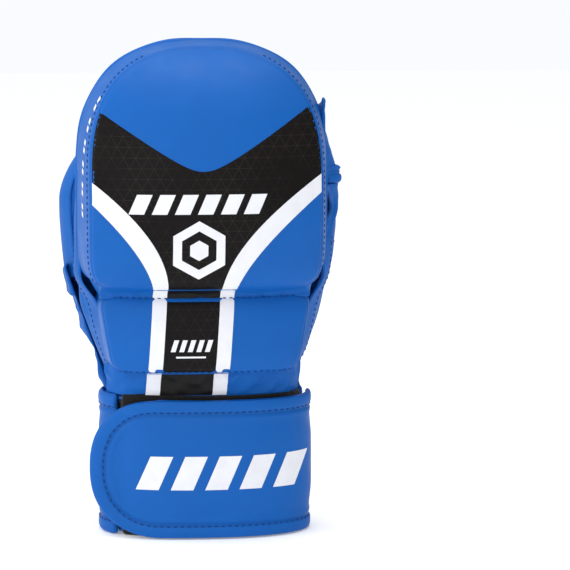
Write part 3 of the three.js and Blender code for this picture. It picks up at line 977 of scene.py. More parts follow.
def build_cuff():
    panel = arc_sheet("palm_wrist_panel_leather", PALM_OVAL, -32, 176, CUFF_BOTTOM, palm_top, LEATHER, BLUE,
                      104,
                      palm_field)
    tree = surface_tree(panel)
    rows = [settle(tree, arc_path(PALM_OVAL, -26, 172, CUFF_BOTTOM + 7.6), 0.1),
            settle(tree, arc_path(PALM_OVAL, -26, 172, lambda d: palm_top(d) - 7.6 / slope_of(palm_top, d)),
                   0.1)]
    sewn = stitches("palm_panel_stitches", rows, THREAD, radius=0.36)
    attach(panel, "cuff", "palm_wrist_panel", slot="blue_leather")
    attach(sewn, "cuff")

    for name, start, end, top, node in (
            ("palm_cuff_lining", -18, 174, lambda d: palm_top(d) - 2, "palm_wrist_lining"),
            ("dorsal_cuff_lining", 186, 334, CUFF_TOP - 1, "dorsal_wrist_lining")):
        lining = arc_sheet(name, LINING_OVAL, start, end, 1, top, 1.5, LINER, 60, band=4, fine=1.0, middle=18,
                           relief=lambda degrees, z, distance: 0.3 * np.sin(z * 0.55 + 0.02 * degrees))
        attach(lining, "cuff", node, slot="mesh_lining")

    loop = arc_sheet("wrist_loop_pile_panel", LOOP_OVAL, 190, 322, 0,
                     lambda d: CUFF_TOP + 2.5 * smoothstep(d, 262, 318), LEATHER, LOOP, 80, band=4, fine=0.8,
                     relief=lambda degrees, z, distance: 0.5 * smoothstep(distance, 0.5, 3))
    attach(loop, "cuff", "wrist_loop_panel", slot="loop_fabric")

    rims = []
    for level in (CUFF_BOTTOM + 1.4, None):
        for start, end, top in ((-20, 174, palm_top), (188, 330, lambda d: CUFF_TOP + 0 * d)):
            degrees = np.linspace(start, end, 150)
            plan = (oval(PALM_OVAL[0] - 1.5, PALM_OVAL[1] - 1.5, degrees)
                    + oval(LINING_OVAL[0], LINING_OVAL[1], degrees)) / 2
            z = np.full(150, level) if level is not None else top(degrees) - 1.6
            path = np.column_stack([plan, z])
            outward = np.column_stack([plan, np.zeros(150)])
            rims.append(tube("rim", path, 1.3, BINDING, sides=12, normals=outward, flat=3.2))
    attach(join("cuff_rim_binding", rims), "cuff")


def slope_of(height, degrees, half_axes=PALM_OVAL):
    """Cosine of the slope of an edge whose height varies round the oval."""
    step = 1.0
    run = np.linalg.norm(oval(*half_axes, degrees + step) - oval(*half_axes, degrees - step), axis=-1)
    return np.cos(np.arctan2(height(degrees + step) - height(degrees - step), run))


def disc(centre, radius, count=48):
    angles = np.linspace(0, 2 * math.pi, count, endpoint=False)
    return [(centre[0] + radius * math.cos(a), centre[1] + radius * math.sin(a)) for a in angles]


def disc_points(centre, radius, count, turn):
    return [(centre[0] + radius * math.cos(turn + 2 * math.pi * k / count),
             centre[1] + radius * math.sin(turn + 2 * math.pi * k / count)) for k in range(count)]


def build_badge():
    """A round printed patch on the palm side of the cuff: ring, dots, short bars and a plain hexagon."""
    radius = (BADGE_HIGH[0] - BADGE_LOW[0]) / 2
    centre = ((BADGE_HIGH[0] + BADGE_LOW[0]) / 2, (BADGE_HIGH[2] + BADGE_LOW[2]) / 2)
    tree = surface_tree(bpy.data.objects["palm_wrist_panel_leather"])

    def place(lift):
        return lambda s, t: drop(tree, s, t, towards=-1.0, lift=lift)[0]

    pieces = [printed("disc", [disc(centre, radius)], place(0.35), BADGE_BLACK, 1.8),
              printed("ring", [disc(centre, radius * 0.985), disc(centre, radius * 0.915)], place(0.42),
                      BADGE_PALE, 1.2),
              printed("core", [disc(centre, radius * 0.63)], place(0.42), WHITE_PRINT, 1.8),
              printed("hexagon", [disc_points(centre, radius * 0.48, 6, math.pi / 6)], place(0.5), BLUE, 1.8),
              printed("heart", [disc_points(centre, radius * 0.2, 6, math.pi / 6)], place(0.58),
                      WHITE_PRINT, 1.8)]
    for k in range(7):
        angle = math.pi / 2 + (k - 3) * math.radians(28)
        spot = (centre[0] + 0.77 * radius * math.cos(angle), centre[1] + 0.77 * radius * math.sin(angle))
        pieces.append(printed("dot", [disc(spot, radius * 0.055, 10)], place(0.45), WHITE_PRINT, 1.2))
    for k in range(9):
        angle = -math.pi / 2 + (k - 4) * math.radians(15)
        inner, outer, half = 0.7 * radius, 0.83 * radius, math.radians(2.6)
        bar = [(centre[0] + r * math.cos(a), centre[1] + r * math.sin(a))
               for r, a in ((inner, angle - half), (outer, angle - half), (outer, angle + half),
                            (inner, angle + half))]
        pieces.append(printed("bar", [bar], place(0.45), BADGE_PALE, 1.2))
    attach(join("palm_badge_print", pieces), "cuff", "palm_round_badge", slot="badge")


build_cuff()
build_badge()


# ---- Printed graphics on the dorsal pads ----

LOBE_BOTTOM = 203.4
STRIPE_IN = 14.3
STRIPE_OUT = 22.0


def middle_line(z):
    """Where the middle of the printed band lies, across the glove."""
    return -0.6 - LEAN * np.clip(LOBE_BOTTOM + 30 - z, 0, None)


def lobe_edge(x):
    """Lower edge of the plain blue dome."""
    reach = x - middle_line(LOBE_BOTTOM)
    return LOBE_BOTTOM - 7 + np.sqrt((0.68 * reach) ** 2 + 49)


def stripe_inner(z):
    return STRIPE_IN + 46.1 * (np.clip(z - CREASE_Z, 0, None) / 62) ** 1.9


def stripe_outer(z):
    return STRIPE_OUT + 39.4 * (np.clip(z - CREASE_Z, 0, None) / 52) ** 1.55


def half_seam(z, side):
    """The front seam's distance from the model's middle plane, a little inside it."""
    return side * (knuckle_half_width(z) - 1.3)


def crossing(edge, side, low, high):
    """Height at which a curve half-width edge(z) meets the pad's seam."""
    heights = np.linspace(low, high, 400)
    reach = middle_line(heights) * side + edge(heights)
    over = reach >= half_seam(heights, side) * side
    return heights[np.argmax(over)] if over.any() else high


def place_on(tree, lift):
    return lambda s, t: drop(tree, s, t, lift=lift)[0]


def curve_points(edge, side, low, high, count=28):
    heights = np.linspace(low, high, count)
    return [(float(middle_line(z) + side * edge(z)), float(z)) for z in heights]


def seam_points(side, low, high, count=14):
    return [(float(half_seam(z, side)), float(z)) for z in np.linspace(low, high, count)]


def knuckle_prints(tree):
    bottom = KNUCKLE_LOW[2] + 1.2
    tips = []
    for side in (-1, 1):
        heights = np.linspace(215, 250, 200)
        over = lobe_edge(half_seam(heights, side)) <= heights
        tips.append(heights[np.argmax(over)])
    inner_tops = [crossing(stripe_inner, side, 160, 230) for side in (-1, 1)]
    outer_tops = [crossing(stripe_outer, side, 150, 225) for side in (-1, 1)]
    lobe_x = np.linspace(half_seam(tips[1], 1), half_seam(tips[0], -1), 40)
    band = curve_points(stripe_inner, 1, bottom, inner_tops[1] - 0.2) + seam_points(1, inner_tops[1], tips[1])
    band += [(float(x), float(lobe_edge(x))) for x in lobe_x[1:-1]]
    band += seam_points(-1, inner_tops[0], tips[0])[::-1] + curve_points(stripe_inner, -1, bottom,
                                                                         inner_tops[0] - 0.2)[::-1]
    dark = printed("knuckle_pad_dark_print", [band], place_on(tree, 0.16), BLACK_PRINT, 1.5)
    pieces = []
    for k, side in enumerate((-1, 1)):
        loop = curve_points(stripe_inner, side, bottom, inner_tops[k])
        loop += seam_points(side, outer_tops[k], inner_tops[k], 6)[::-1]
        loop += curve_points(stripe_outer, side, bottom, outer_tops[k])[::-1]
        pieces.append(printed("stripe", [loop], place_on(tree, 0.24), WHITE_PRINT, 1.3))
    pieces += knuckle_marks(tree)
    return dark, join("knuckle_pad_white_print", pieces)


def knuckle_marks(tree):
    """A plain generic mark: a row of slanted bars above a hexagon ring."""
    pieces = []
    base, height, width, gap, slant = 181.0, 10.5, 8.2, 4.0, 4.6
    count = 6
    centre = middle_line(base)
    for k in range(count):
        foot = centre - 2 + (k - count / 2) * (width + gap)
        bar = slanted_bar(foot, base, base + height, width, slant)
        pieces.append(printed("bar", [bar], place_on(tree, 0.28), WHITE_PRINT, 1.6))
    heart = (float(middle_line(162)), 161.5)
    outer, inner, core = (disc_points(heart, size, 6, math.pi / 2) for size in (16.0, 10.6, 5.6))
    pieces.append(printed("ring", [outer, inner], place_on(tree, 0.28), WHITE_PRINT, 1.6))
    pieces.append(printed("core", [core], place_on(tree, 0.28), WHITE_PRINT, 1.6))
    return pieces


def slanted_bar(foot, low, high, width, slant):
    """The four corners of a bar that leans to the right."""
    return [(foot, low), (foot + width, low), (foot + width + slant, high), (foot + slant, high)]


def strip_print(name, tree, left, right, low, high, material, lift, spacing=2.2):
    """A straight print between two leaning edges, from a lower height to an upper one."""
    heights = np.linspace(low, high, 16)
    loop = [(float(middle_line(z) + right), float(z)) for z in heights]
    loop += [(float(middle_line(z) + left), float(z)) for z in heights[::-1]]
    return printed(name, [loop], place_on(tree, lift), material, spacing)


def band_prints(tree, low, high, dark_lift, white_lift, spacing):
    """The dark band between its two white stripes, on a strip of soft leather."""
    prints = [strip_print("dark", tree, -STRIPE_IN, STRIPE_IN, low, high, BLACK_LEATHER, dark_lift, spacing)]
    prints += [strip_print("stripe", tree, s * STRIPE_IN, s * STRIPE_OUT, low, high, WHITE_PRINT,
                           white_lift, spacing)
               for s in (-1, 1)]
    return prints


def hand_prints(tree):
    low, high = HAND_LOW[2] + 0.8, HAND_HIGH[2] - 0.8
    dark = strip_print("backhand_dark_print", tree, -STRIPE_IN, STRIPE_IN, low, high, BLACK_PRINT, 0.1)
    pieces = [strip_print("stripe", tree, side * STRIPE_IN, side * STRIPE_OUT, low, high, WHITE_PRINT, 0.16)
              for side in (-1, 1)]
    centre = middle_line(107)
    for k in range(5):
        foot = centre - 11 + k * 4.6
        bar = slanted_bar(foot, 104.5, 111, 2.6, 2.0)
        pieces.append(printed("bar", [bar], place_on(tree, 0.18), WHITE_PRINT, 1.2))
    underline = [slanted_bar(centre - 8, 101, 102, 16, 0)]
    pieces.append(printed("line", underline, place_on(tree, 0.18), WHITE_PRINT, 1.2))
    return dark, join("backhand_white_print", pieces)


def side_marks(tree):
    """Short white dashes down the pad's thumb-side wall."""
    pieces = []
    for k in range(6):
        z = 176 + 11.5 * k
        for step in (0.0, 4.2):
            corners = []
            for depth, height in ((0.0, 0.0), (3.4, 1.2), (3.4, 4.0), (0.0, 2.8)):
                corners.append((depth - 24.0, z + height + step))
            pieces.append(printed("dash", [corners], side_place(tree), WHITE_PRINT, 1.3))
    return join("knuckle_pad_side_print", pieces)


def side_place(tree):
    """Lays a print on the pad's side wall, seen from the thumb side: s is depth, t is height."""
    def place(s, t):
        hit, _, _, _ = tree.ray_cast(Vector((-300, s, t)), Vector((1, 0, 0)))
        return None if hit is None else np.array(hit + Vector((-0.15, 0, 0)))
    return place


def build_dorsal_prints():
    knuckle_tree = surface_tree(knuckle_pad)
    hand_tree = surface_tree(hand_pad)
    for piece in knuckle_prints(knuckle_tree):
        attach(piece, "fingers")
    attach(side_marks(knuckle_tree), "fingers")
    for piece in hand_prints(hand_tree):
        attach(piece, "hand")


build_dorsal_prints()
attach(knuckle_pad, "fingers", "knuckle_pad_cover", slot="blue_leather")
attach(hand_pad, "hand", "backhand_pad_cover", slot="blue_leather")


# ---- Wrap strap ----

STRAP_START = 181.0
STRAP_HALF = (STRAP_HIGH[2] - STRAP_LOW[2]) / 2
STRAP_MIDDLE = (STRAP_HIGH[2] + STRAP_LOW[2]) / 2
TIP_REACH = STRAP_LOW[0]


def strap_plan(count):
    """The strap's plan line, from the little-finger side round the back to its free tip."""
    bent = oval(*STRAP_OVAL, np.linspace(STRAP_START, 314, 300))
    direction = unit(np.array([-16.0, 3.5]))
    reach = (TIP_REACH - bent[-1, 0]) / direction[0]
    straight = bent[-1] + direction * np.linspace(0.5, reach, 20)[:, None]
    return resample(catmull(np.vstack([bent[::30], straight[::4], straight[-1:]]), 400), count)


def strap_grid():
    """Middle points of the strap, their distance from its edge, and how far along each lies."""
    plan = strap_plan(600)
    total = path_length(plan)
    length_at = np.linspace(0, total, 600)
    rows, columns = 66, 120
    turn = np.linspace(-math.pi / 2, math.pi / 2, rows)
    height = STRAP_HALF * np.sin(turn)
    power = 2.3
    shoulder = total - STRAP_HALF * 1.02
    end = shoulder + STRAP_HALF * 1.02 * (1 - np.abs(height / STRAP_HALF) ** power) ** (1 / power)
    share = np.linspace(0, 1, columns)
    share = share + 0.12 * np.sin(2 * math.pi * share) / (2 * math.pi)
    along = end[:, None] * share[None, :]
    grid = np.stack([np.interp(along, length_at, plan[:, 0]), np.interp(along, length_at, plan[:, 1]),
                     STRAP_MIDDLE + np.repeat(height[:, None], columns, axis=1)], axis=-1)
    past = np.clip(along - shoulder, 0, None)
    radial = (past**power + np.abs(height[:, None]) ** power) ** (1 / power)
    distance = STRAP_HALF - np.where(past > 0, radial, np.abs(height[:, None]))
    return grid, np.clip(distance, 0, None), along


def strap_outline(inset, count=420):
    """A path round the strap's free outline, inset from its edge, lying just outside the leather."""
    plan = strap_plan(600)
    total = path_length(plan)
    shoulder = total - STRAP_HALF * 1.02
    half = STRAP_HALF - inset
    turn = np.linspace(math.pi / 2, -math.pi / 2, 160)
    arc_s = shoulder + half * 1.02 * np.cos(turn) ** (2 / 2.3)
    arc_z = half * np.sign(np.sin(turn)) * np.abs(np.sin(turn)) ** (2 / 2.3)
    start = 6.0
    s = np.concatenate([np.linspace(start, shoulder, 200), arc_s, np.linspace(shoulder, start, 200)])
    z = np.concatenate([np.full(200, half), arc_z, np.full(200, -half)])
    at = np.linspace(0, total, 600)
    tangent = unit(np.gradient(plan, axis=0))
    outward = np.column_stack([tangent[:, 1], -tangent[:, 0]])
    outward *= np.sign(np.sum(outward * plan, axis=1, keepdims=True))
    x = np.interp(s, at, plan[:, 0] + 2.6 * outward[:, 0])
    y = np.interp(s, at, plan[:, 1] + 2.6 * outward[:, 1])
    return resample(np.column_stack([x, y, STRAP_MIDDLE + z]), count)


def build_strap():
    hinge, _ = joint("strap_peel")
    start, end = (hinge[0] + 9, hinge[1], hinge[2]), (hinge[0] - 9, hinge[1], hinge[2])
    grid, distance, along = strap_grid()
    ripple = 0.25 * np.sin(along / 11.0 + grid[..., 2] / 19.0) * smoothstep(distance, 9, 20)
    strap = sheet("wrap_strap", grid, LEATHER, BLUE, border_relief(distance, 7.0) + ripple, flip=True)
    tree = surface_tree(strap)
    outline = strap_outline(7.3)
    path, normals = settle(tree, outline, 0.1)
    sewn = stitches("wrap_strap_stitches", [(path, normals)], THREAD, radius=0.36)

    pieces = []
    slant, gap, count = 8.0, 6.5, 5
    left, right, low, high = -38.0, 57.5, 27.0, 45.6
    width = (right - left - slant - gap * (count - 1)) / count
    for k in range(count):
        foot = left + k * (width + gap)
        bar = slanted_bar(foot, low, high, width, slant)
        pieces.append(printed("bar", [bar], place_on(tree, 0.12), WHITE_PRINT))
    blocks = join("wrap_strap_print", pieces)

    bend(strap, "strap", "strap_tip", start, end, "strap_wrap", "strap_tip", slot="blue_leather")
    bend(sewn, "strap", "strap_tip", start, end)
    bend(blocks, "strap", "strap_tip", start, end)

    margin = 4.0
    backing = arc_sheet("strap_backing", BACKING_OVAL, 197, 267.5, margin, 2 * STRAP_HALF - margin, 1.5,
                        LOOP, 50, band=4, relief=lambda degrees, z, distance: 0.2 * smoothstep(distance, 0, 3))
    attach(backing, "strap", "strap_wrap_backing", slot="loop_fabric")
    hook = arc_sheet("strap_hook_patch_tape", BACKING_OVAL, 274.5, 314, 9, 2 * STRAP_HALF - 9, 1.5, HOOK,
                     40, band=4)
    attach(hook, "strap_tip", "strap_hook_patch", slot="hook_tape")


build_strap()


# ---- Folds between cuff, hand and fingers ----

SOFT_LEATHER = 1.8
THIN_LEATHER = 1.2
CREASE_BEND = ((0, 0, 126), (0, 0, 148))  # heights handed to bend() for the side walls, which bend() does not use


def lofted(paths, heights, rows, columns):
    """A grid whose rows follow plan paths: paths[k] is the plan line at heights[k]."""
    lines = np.array([catmull(np.asarray(path, float), columns) for path in paths])
    levels = np.linspace(heights[0], heights[-1], rows)
    grid = np.empty((rows, columns, 3))
    for c in range(columns):
        for axis in range(2):
            grid[:, c, axis] = spline_through(heights, lines[:, c, axis], levels)
    grid[..., 2] = levels[:, None]
    return grid


def spline_through(at, values, wanted):
    """Smooth interpolation of values given at increasing places."""
    at, values = np.asarray(at, float), np.asarray(values, float)
    if len(at) < 3:
        return np.interp(wanted, at, values)
    slope = np.gradient(values, at)
    i = np.clip(np.searchsorted(at, wanted) - 1, 0, len(at) - 2)
    step = at[i + 1] - at[i]
    t = (wanted - at[i]) / step
    a, b = values[i], values[i + 1]
    m, n = slope[i] * step, slope[i + 1] * step
    return ((2 * t**3 - 3 * t**2 + 1) * a + (t**3 - 2 * t**2 + t) * m
            + (-2 * t**3 + 3 * t**2) * b + (t**3 - t**2) * n)


def fold_relief(grid, size, depth, seed, stretch=(1, 1, 1)):
    """Pulled folds in thin leather: ridged noise, from -depth to depth."""
    flat = grid.reshape(-1, 3) * np.array(stretch)
    ridged = 1 - 2 * np.abs(soft_noise(flat, size, seed))
    return (depth * (ridged - 0.55)).reshape(grid.shape[:2])


def build_wrist_gusset():
    path_low = [(-52, -9), (-44, -17.5), (-24, -23.2), (0, -24.3), (24, -23.2), (44, -17.5), (52, -9)]
    path_high = [(-54, -10), (-46, -20.5), (-25, -27), (0, -29), (25, -27), (46, -20.5), (54, -10)]
    low, high = CUFF_TOP + 1.0, HAND_LOW[2] + 3
    grid = lofted([path_low, path_high], [low, high], 24, 90)
    relief = fold_relief(grid, 9.0, 1.3, 3.0, (1, 1, 0.8)) + fold_relief(grid, 4.0, 0.35, 8.0)
    fade = smoothstep(grid[..., 2], low, low + 4)
    gusset = sheet("wrist_gusset_leather", grid, THIN_LEATHER, SOFT_BLUE, relief * fade)
    tree = surface_tree(gusset)
    prints = band_prints(tree, low + 0.4, high - 1, 0.2, 0.28, 1.5)
    start, end = (0, 0, low), (0, 0, high - 1)
    bend(gusset, "cuff", "hand", start, end, "wrist_gusset", slot="blue_leather")
    bend(join("wrist_gusset_print", prints), "cuff", "hand", start, end)


def build_crease():
    """The stitched valley between the knuckle pad and the back-of-hand pad."""
    low, high = HAND_HIGH[2] - 2.6, KNUCKLE_LOW[2] + 2.6
    count, rows = 90, 12
    x = np.linspace(-57, 57, count)
    turn = np.linspace(0, 1, rows)
    grid = np.empty((rows, count, 3))
    for r, t in enumerate(turn):
        valley = math.sin(math.pi * t)
        top_y = knuckle_front(x, np.full(count, high)) + 2.2
        low_y = hand_front(x, np.full(count, low)) + 1.2
        grid[r, :, 0] = x
        grid[r, :, 1] = (1 - t) * low_y + t * top_y + 3.2 * valley
        grid[r, :, 2] = low + (high - low) * t
    relief = fold_relief(grid, 7.0, 0.5, 5.0)
    fold = sheet("crease_fold_leather", grid, THIN_LEATHER, SOFT_BLUE, relief)
    tree = surface_tree(fold)
    prints = band_prints(tree, low + 0.3, high - 0.3, 0.15, 0.22, 1.3)
    start, end = (0, 0, low + 0.5), (0, 0, high - 0.5)
    bend(fold, "hand", "fingers", start, end)
    bend(join("crease_fold_print", prints), "hand", "fingers", start, end)
    pad_tree = surface_tree(hand_pad)
    row_x = np.linspace(-49, 50, 200)
    path = [drop(pad_tree, float(v), HAND_HIGH[2] - 1.9)[0] for v in row_x]
    path, normals = settle(pad_tree, path, 0.1)
    under_x = np.linspace(-46, 46, 200)
    under = [drop(pad_tree, float(v), HAND_LOW[2] + 1.6)[0] for v in under_x]
    under, under_normals = settle(pad_tree, under, 0.1)
    attach(stitches("backhand_pad_stitches", [(path, normals), (under, under_normals)], THREAD, radius=0.34,
                    pitch=3.4, length=2.3), "hand")


def build_pad_stitches():
    """Stitches down the thumb-side wall, just behind the knuckle pad's front seam."""
    tree = surface_tree(knuckle_pad)
    rows = []
    for start, end in ((118, 232), (-52, 62)):
        turn = np.radians(np.linspace(start, end, 260))
        x, z = knuckle_outline(turn, 0.16)
        y = 0.84 * knuckle_front(x, z) + 0.16 * knuckle_back(x, z)
        outward = unit(np.column_stack([x, np.zeros(260), z - KNUCKLE_CENTRE]))
        rows.append(settle(tree, np.column_stack([x, y, z]) + 3 * outward, 0.08))
    attach(stitches("knuckle_pad_stitches", rows, THREAD, radius=0.34, pitch=3.2, length=2.2), "fingers")


# ---- Finger side: liner, rim, stalls and palm bar ----

RIM_INSET = 3.0
BAR_TOP = STALL_LOW[2] + 7.5
STALL_TOP = STALL_HIGH[2]


def build_knuckle_lining():
    radius, angle = concentric(44)
    x, z = knuckle_outline(angle, 1.0, 4.6)
    x = radius * x
    z = KNUCKLE_CENTRE + radius * (z - KNUCKLE_CENTRE)
    z = np.maximum(z, KNUCKLE_LOW[2] + 1)
    grid = np.stack([x, knuckle_back(x, z) + 0.9, z], axis=-1)
    relief = 0.5 * np.sin(z / 3.1) * smoothstep(z, 236, 252) + fold_relief(grid, 24, 0.6, 4.0, (0.5, 1, 1.4))
    relief += 1.1 * smoothstep(1 - radius, 0.02, 0.12)
    lining = sheet("knuckle_pad_mesh_lining", grid, 1.0, LINER, relief, flip=True)
    attach(lining, "fingers", "knuckle_pad_lining", slot="mesh_lining")


def build_rim():
    """A padded binding round the open edge, with a thin welt on its inner side."""
    start, end = math.radians(-40), math.radians(220)

    def path(inset, lift, count=260):
        turn = np.linspace(start, end, count)
        x, z = knuckle_outline(turn, 1.0, inset)
        return np.stack([x, knuckle_back(x, z) + lift, z], axis=1)

    line = path(RIM_INSET, 1.6)
    swell = 1 + 0.05 * np.sin(np.linspace(0, 60, len(line))) + 0.04 * np.sin(np.linspace(0, 23, len(line)))
    deep = np.tile((0.0, 1.0, 0.0), (len(line), 1))
    binding = subdivide(tube("knuckle_pad_rim_binding_leather", line, 3.6 * swell, BINDING, sides=16,
                             normals=deep,
                             flat=0.62))
    attach(binding, "fingers", "knuckle_pad_rim_binding", slot="blue_leather")
    welt = tube("knuckle_pad_rim_welt", path(RIM_INSET + 4.2, 2.0, 320), 0.8, BINDING, sides=8)
    attach(welt, "fingers")
    tree = surface_tree(binding)
    row = settle(tree, path(RIM_INSET + 2.1, 6.0), 0.06)
    attach(stitches("knuckle_pad_rim_stitches", [row], THREAD, radius=0.3, pitch=3.3, length=2.2), "fingers")


# Each stall's wall starts at the liner beside its neighbour, swings out to a front corner on the little-
# finger side, and folds back to the liner.
FRONT_Y = 22.0


def stall_points():
    """Rear and front plan points, from the thumb side: (rear x, front x, rear x, ...)."""
    pitch = (STALL_HIGH[0] - STALL_LOW[0]) / 4
    rear = [STALL_LOW[0] + 15.5 + pitch * k * 1.08 for k in range(3)]
    front = [STALL_LOW[0] + 28.0 + pitch * k * 1.17 for k in range(3)]
    return rear, front


def stall_path(index, z, squeeze):
    """Plan line of one stall at a height; squeeze, from 0 to 1, flattens its pleats near the bottom seam."""
    rear, front = stall_points()
    side_flare = 0.3 * np.clip(222 - z, 0, None)
    left_end = (-64.5 - 0.02 * side_flare, 4.0)
    low_y = FRONT_Y - 1.5

    def back(x):
        depth = float(knuckle_back(x, z)) + 3.2
        return (x, depth + (low_y - 7 - depth) * 0.62 * squeeze)

    if index == 0:
        wall = [left_end, (-62.5, 11), (-55, 17.5), (-43, 21), (front[0] - 2.5, FRONT_Y + 0.6),
                (front[0], FRONT_Y),
                (front[0] - 0.6, FRONT_Y - 3), ((front[0] + rear[0]) / 2 + 1, 5 + 9 * squeeze), back(rear[0])]
    elif index < 3:
        a, f, b = back(rear[index - 1] + 1.4), front[index], rear[index]
        wall = [a, (a[0] + 0.22 * (f - a[0]), a[1] + 0.38 * (FRONT_Y - a[1])),
                (a[0] + 0.58 * (f - a[0]), a[1] + 0.84 * (FRONT_Y - a[1])), (f - 9, FRONT_Y + 0.2),
                (f - 2.5, FRONT_Y + 0.8), (f, FRONT_Y), (f - 0.6, FRONT_Y - 3),
                ((f + b) / 2 + 1, 5 + 9 * squeeze), back(b)]
    else:
        a = back(rear[2] + 1.4)
        side = 67.0 + side_flare
        wall = [a, (a[0] + 9, a[1] + 0.45 * (FRONT_Y - a[1])), (a[0] + 22, FRONT_Y - 3), (a[0] + 36, FRONT_Y),
                (side - 9, 19), (side - 1.5, 13), (side, 6), (66.6, -3)]
    return wall


def stall_top(index, share):
    """Height of a stall's upper edge along its wall, share 0 at the thumb side."""
    rear_height, front_height = STALL_TOP + 1, STALL_TOP - 1.5
    if index == 0:
        return np.interp(share, [0, 0.6, 1.0], [STALL_TOP - 12.5, front_height - 1, rear_height])
    if index == 3:
        return np.interp(share, [0, 0.45, 0.75, 1.0], [rear_height, front_height - 4, front_height - 3,
                                                       STALL_TOP + 2])
    return np.interp(share, [0, 0.66, 1.0], [rear_height + 0.5, front_height, rear_height])


def stall_grid(index, rows=34, columns=96):
    bottom = BAR_TOP - 4.0
    share = np.linspace(0, 1, columns)
    tops = stall_top(index, share)
    grid = np.empty((rows, columns, 3))
    for r, v in enumerate(np.linspace(0, 1, rows)):
        level = bottom + (STALL_TOP - bottom) * v
        squeeze = 1 - float(smoothstep(v, 0.0, 0.5))
        line = catmull(stall_path(index, level, squeeze), columns)
        grid[r, :, :2] = line
        grid[r, :, 2] = bottom + (tops - bottom) * v
    return grid


def build_stalls():
    names = ("index", "middle", "ring", "little")
    for index, name in enumerate(names):
        grid = stall_grid(index)
        z = grid[..., 2]
        dent = -1.3 * bump_at(z, 213.5, 2.2) - 0.5 * bump_at(z, 224, 5)
        front_face = smoothstep(grid[..., 1], 8, 18)
        edge = 0.35 * bump_at(z, grid[-1:, :, 2] - 1.2, 1.1) - 0.35 * bump_at(z, grid[-1:, :, 2] - 6.4, 0.9)
        folds = fold_relief(grid, 15, 0.8, 2.0 + index, (1, 1, 1.8))
        relief = dent * front_face + edge + folds * smoothstep(z, BAR_TOP, BAR_TOP + 8)
        wall = sheet(f"{name}_finger_stall_leather", grid, SOFT_LEATHER, SOFT_BLUE, relief, flip=True)
        tree = surface_tree(wall)
        seen = grid[-1, :, 1] > 6
        seen[-3:] = False
        first, last = np.argmax(seen), len(seen) - 1 - np.argmax(seen[::-1])
        if 0 < index < 3:
            last = int(first + (last - first) * 0.9)
        rows = []
        for share in (None, 0.11):
            if share is None:
                line = grid[-1, first:last].copy()
                line[:, 2] -= 6.2
            else:
                line = grid[int(share * (len(grid) - 1)), first:last].copy()
            line[:, 1] += 2.5
            rows.append(settle(tree, resample(line, 120), 0.06))
        sewn = stitches(f"{name}_finger_stall_stitches", rows, THREAD, radius=0.32, pitch=3.3, length=2.2)
        attach(wall, "fingers", f"{name}_finger_stall", slot="blue_leather")
        attach(sewn, "fingers")


def build_suede():
    """Brushed suede inside the folded-back tops of the stalls, with short loose fibres."""
    rng = random.Random(7)
    rear, _ = stall_points()
    rows, columns = 12, 24
    for k in range(3):
        grid = np.empty((rows, columns, 3))
        for r, v in enumerate(np.linspace(0, 1, rows)):
            z = STALL_TOP - 12 + 14.5 * v
            depth = float(knuckle_back(rear[k], z)) + 3.0
            line = [(rear[k] + 5.6, depth + 11.5), (rear[k] + 3.8, depth + 4.5), (rear[k] + 0.2, depth + 1.4),
                    (rear[k] - 0.5, depth + 4.5), (rear[k] + 1.2, depth + 9)]
            path = catmull([(x + 0.6, y) for x, y in line], columns)
            grid[r, :, :2] = path
            grid[r, :, 2] = z
        relief = fold_relief(grid, 2.2, 0.5, 20.0 + k) + fold_relief(grid, 5, 0.5, 30.0 + k)
        grid[..., 2] += 0.9 * soft_noise(grid.reshape(-1, 3), 2.4, 40.0 + k).reshape(rows, columns) * (
            np.linspace(0, 1, rows)[:, None])
        patch = sheet(f"stall_suede_{k + 1}", grid, 2.2, SUEDE, relief)
        points, faces = [], []
        for _ in range(230):
            root = grid[rows - 1 - int(rng.random() ** 2 * 5), rng.randrange(columns)]
            root = root + np.array([rng.uniform(-0.9, 0.9), rng.uniform(-0.9, 0.9), 0.2])
            lean = np.array([rng.uniform(-1, 1), rng.uniform(-0.6, 1.2), rng.uniform(0.3, 1.6)])
            tip = root + unit(lean) * rng.uniform(1.2, 2.8)
            bow = (root + tip) / 2 + np.array([rng.uniform(-0.4, 0.4) for _ in range(3)])
            base = len(points)
            for centre, width in ((root, 0.16), (bow, 0.12), (tip, 0.04)):
                for s in range(3):
                    a = 2 * math.pi * s / 3
                    points.append(centre + width * np.array([math.cos(a), math.sin(a), 0.0]))
            for ring in range(2):
                for s in range(3):
                    e = (s + 1) % 3
                    a, b = base + 3 * ring + s, base + 3 * ring + e
                    faces.append((a, b, b + 3, a + 3))
            faces.append((base + 6, base + 7, base + 8))
            faces.append((base + 2, base + 1, base))
        fibres = mesh_piece(f"stall_suede_fibres_{k + 1}", points, faces, SUEDE)
        attach(patch, "fingers")
        attach(fibres, "fingers")


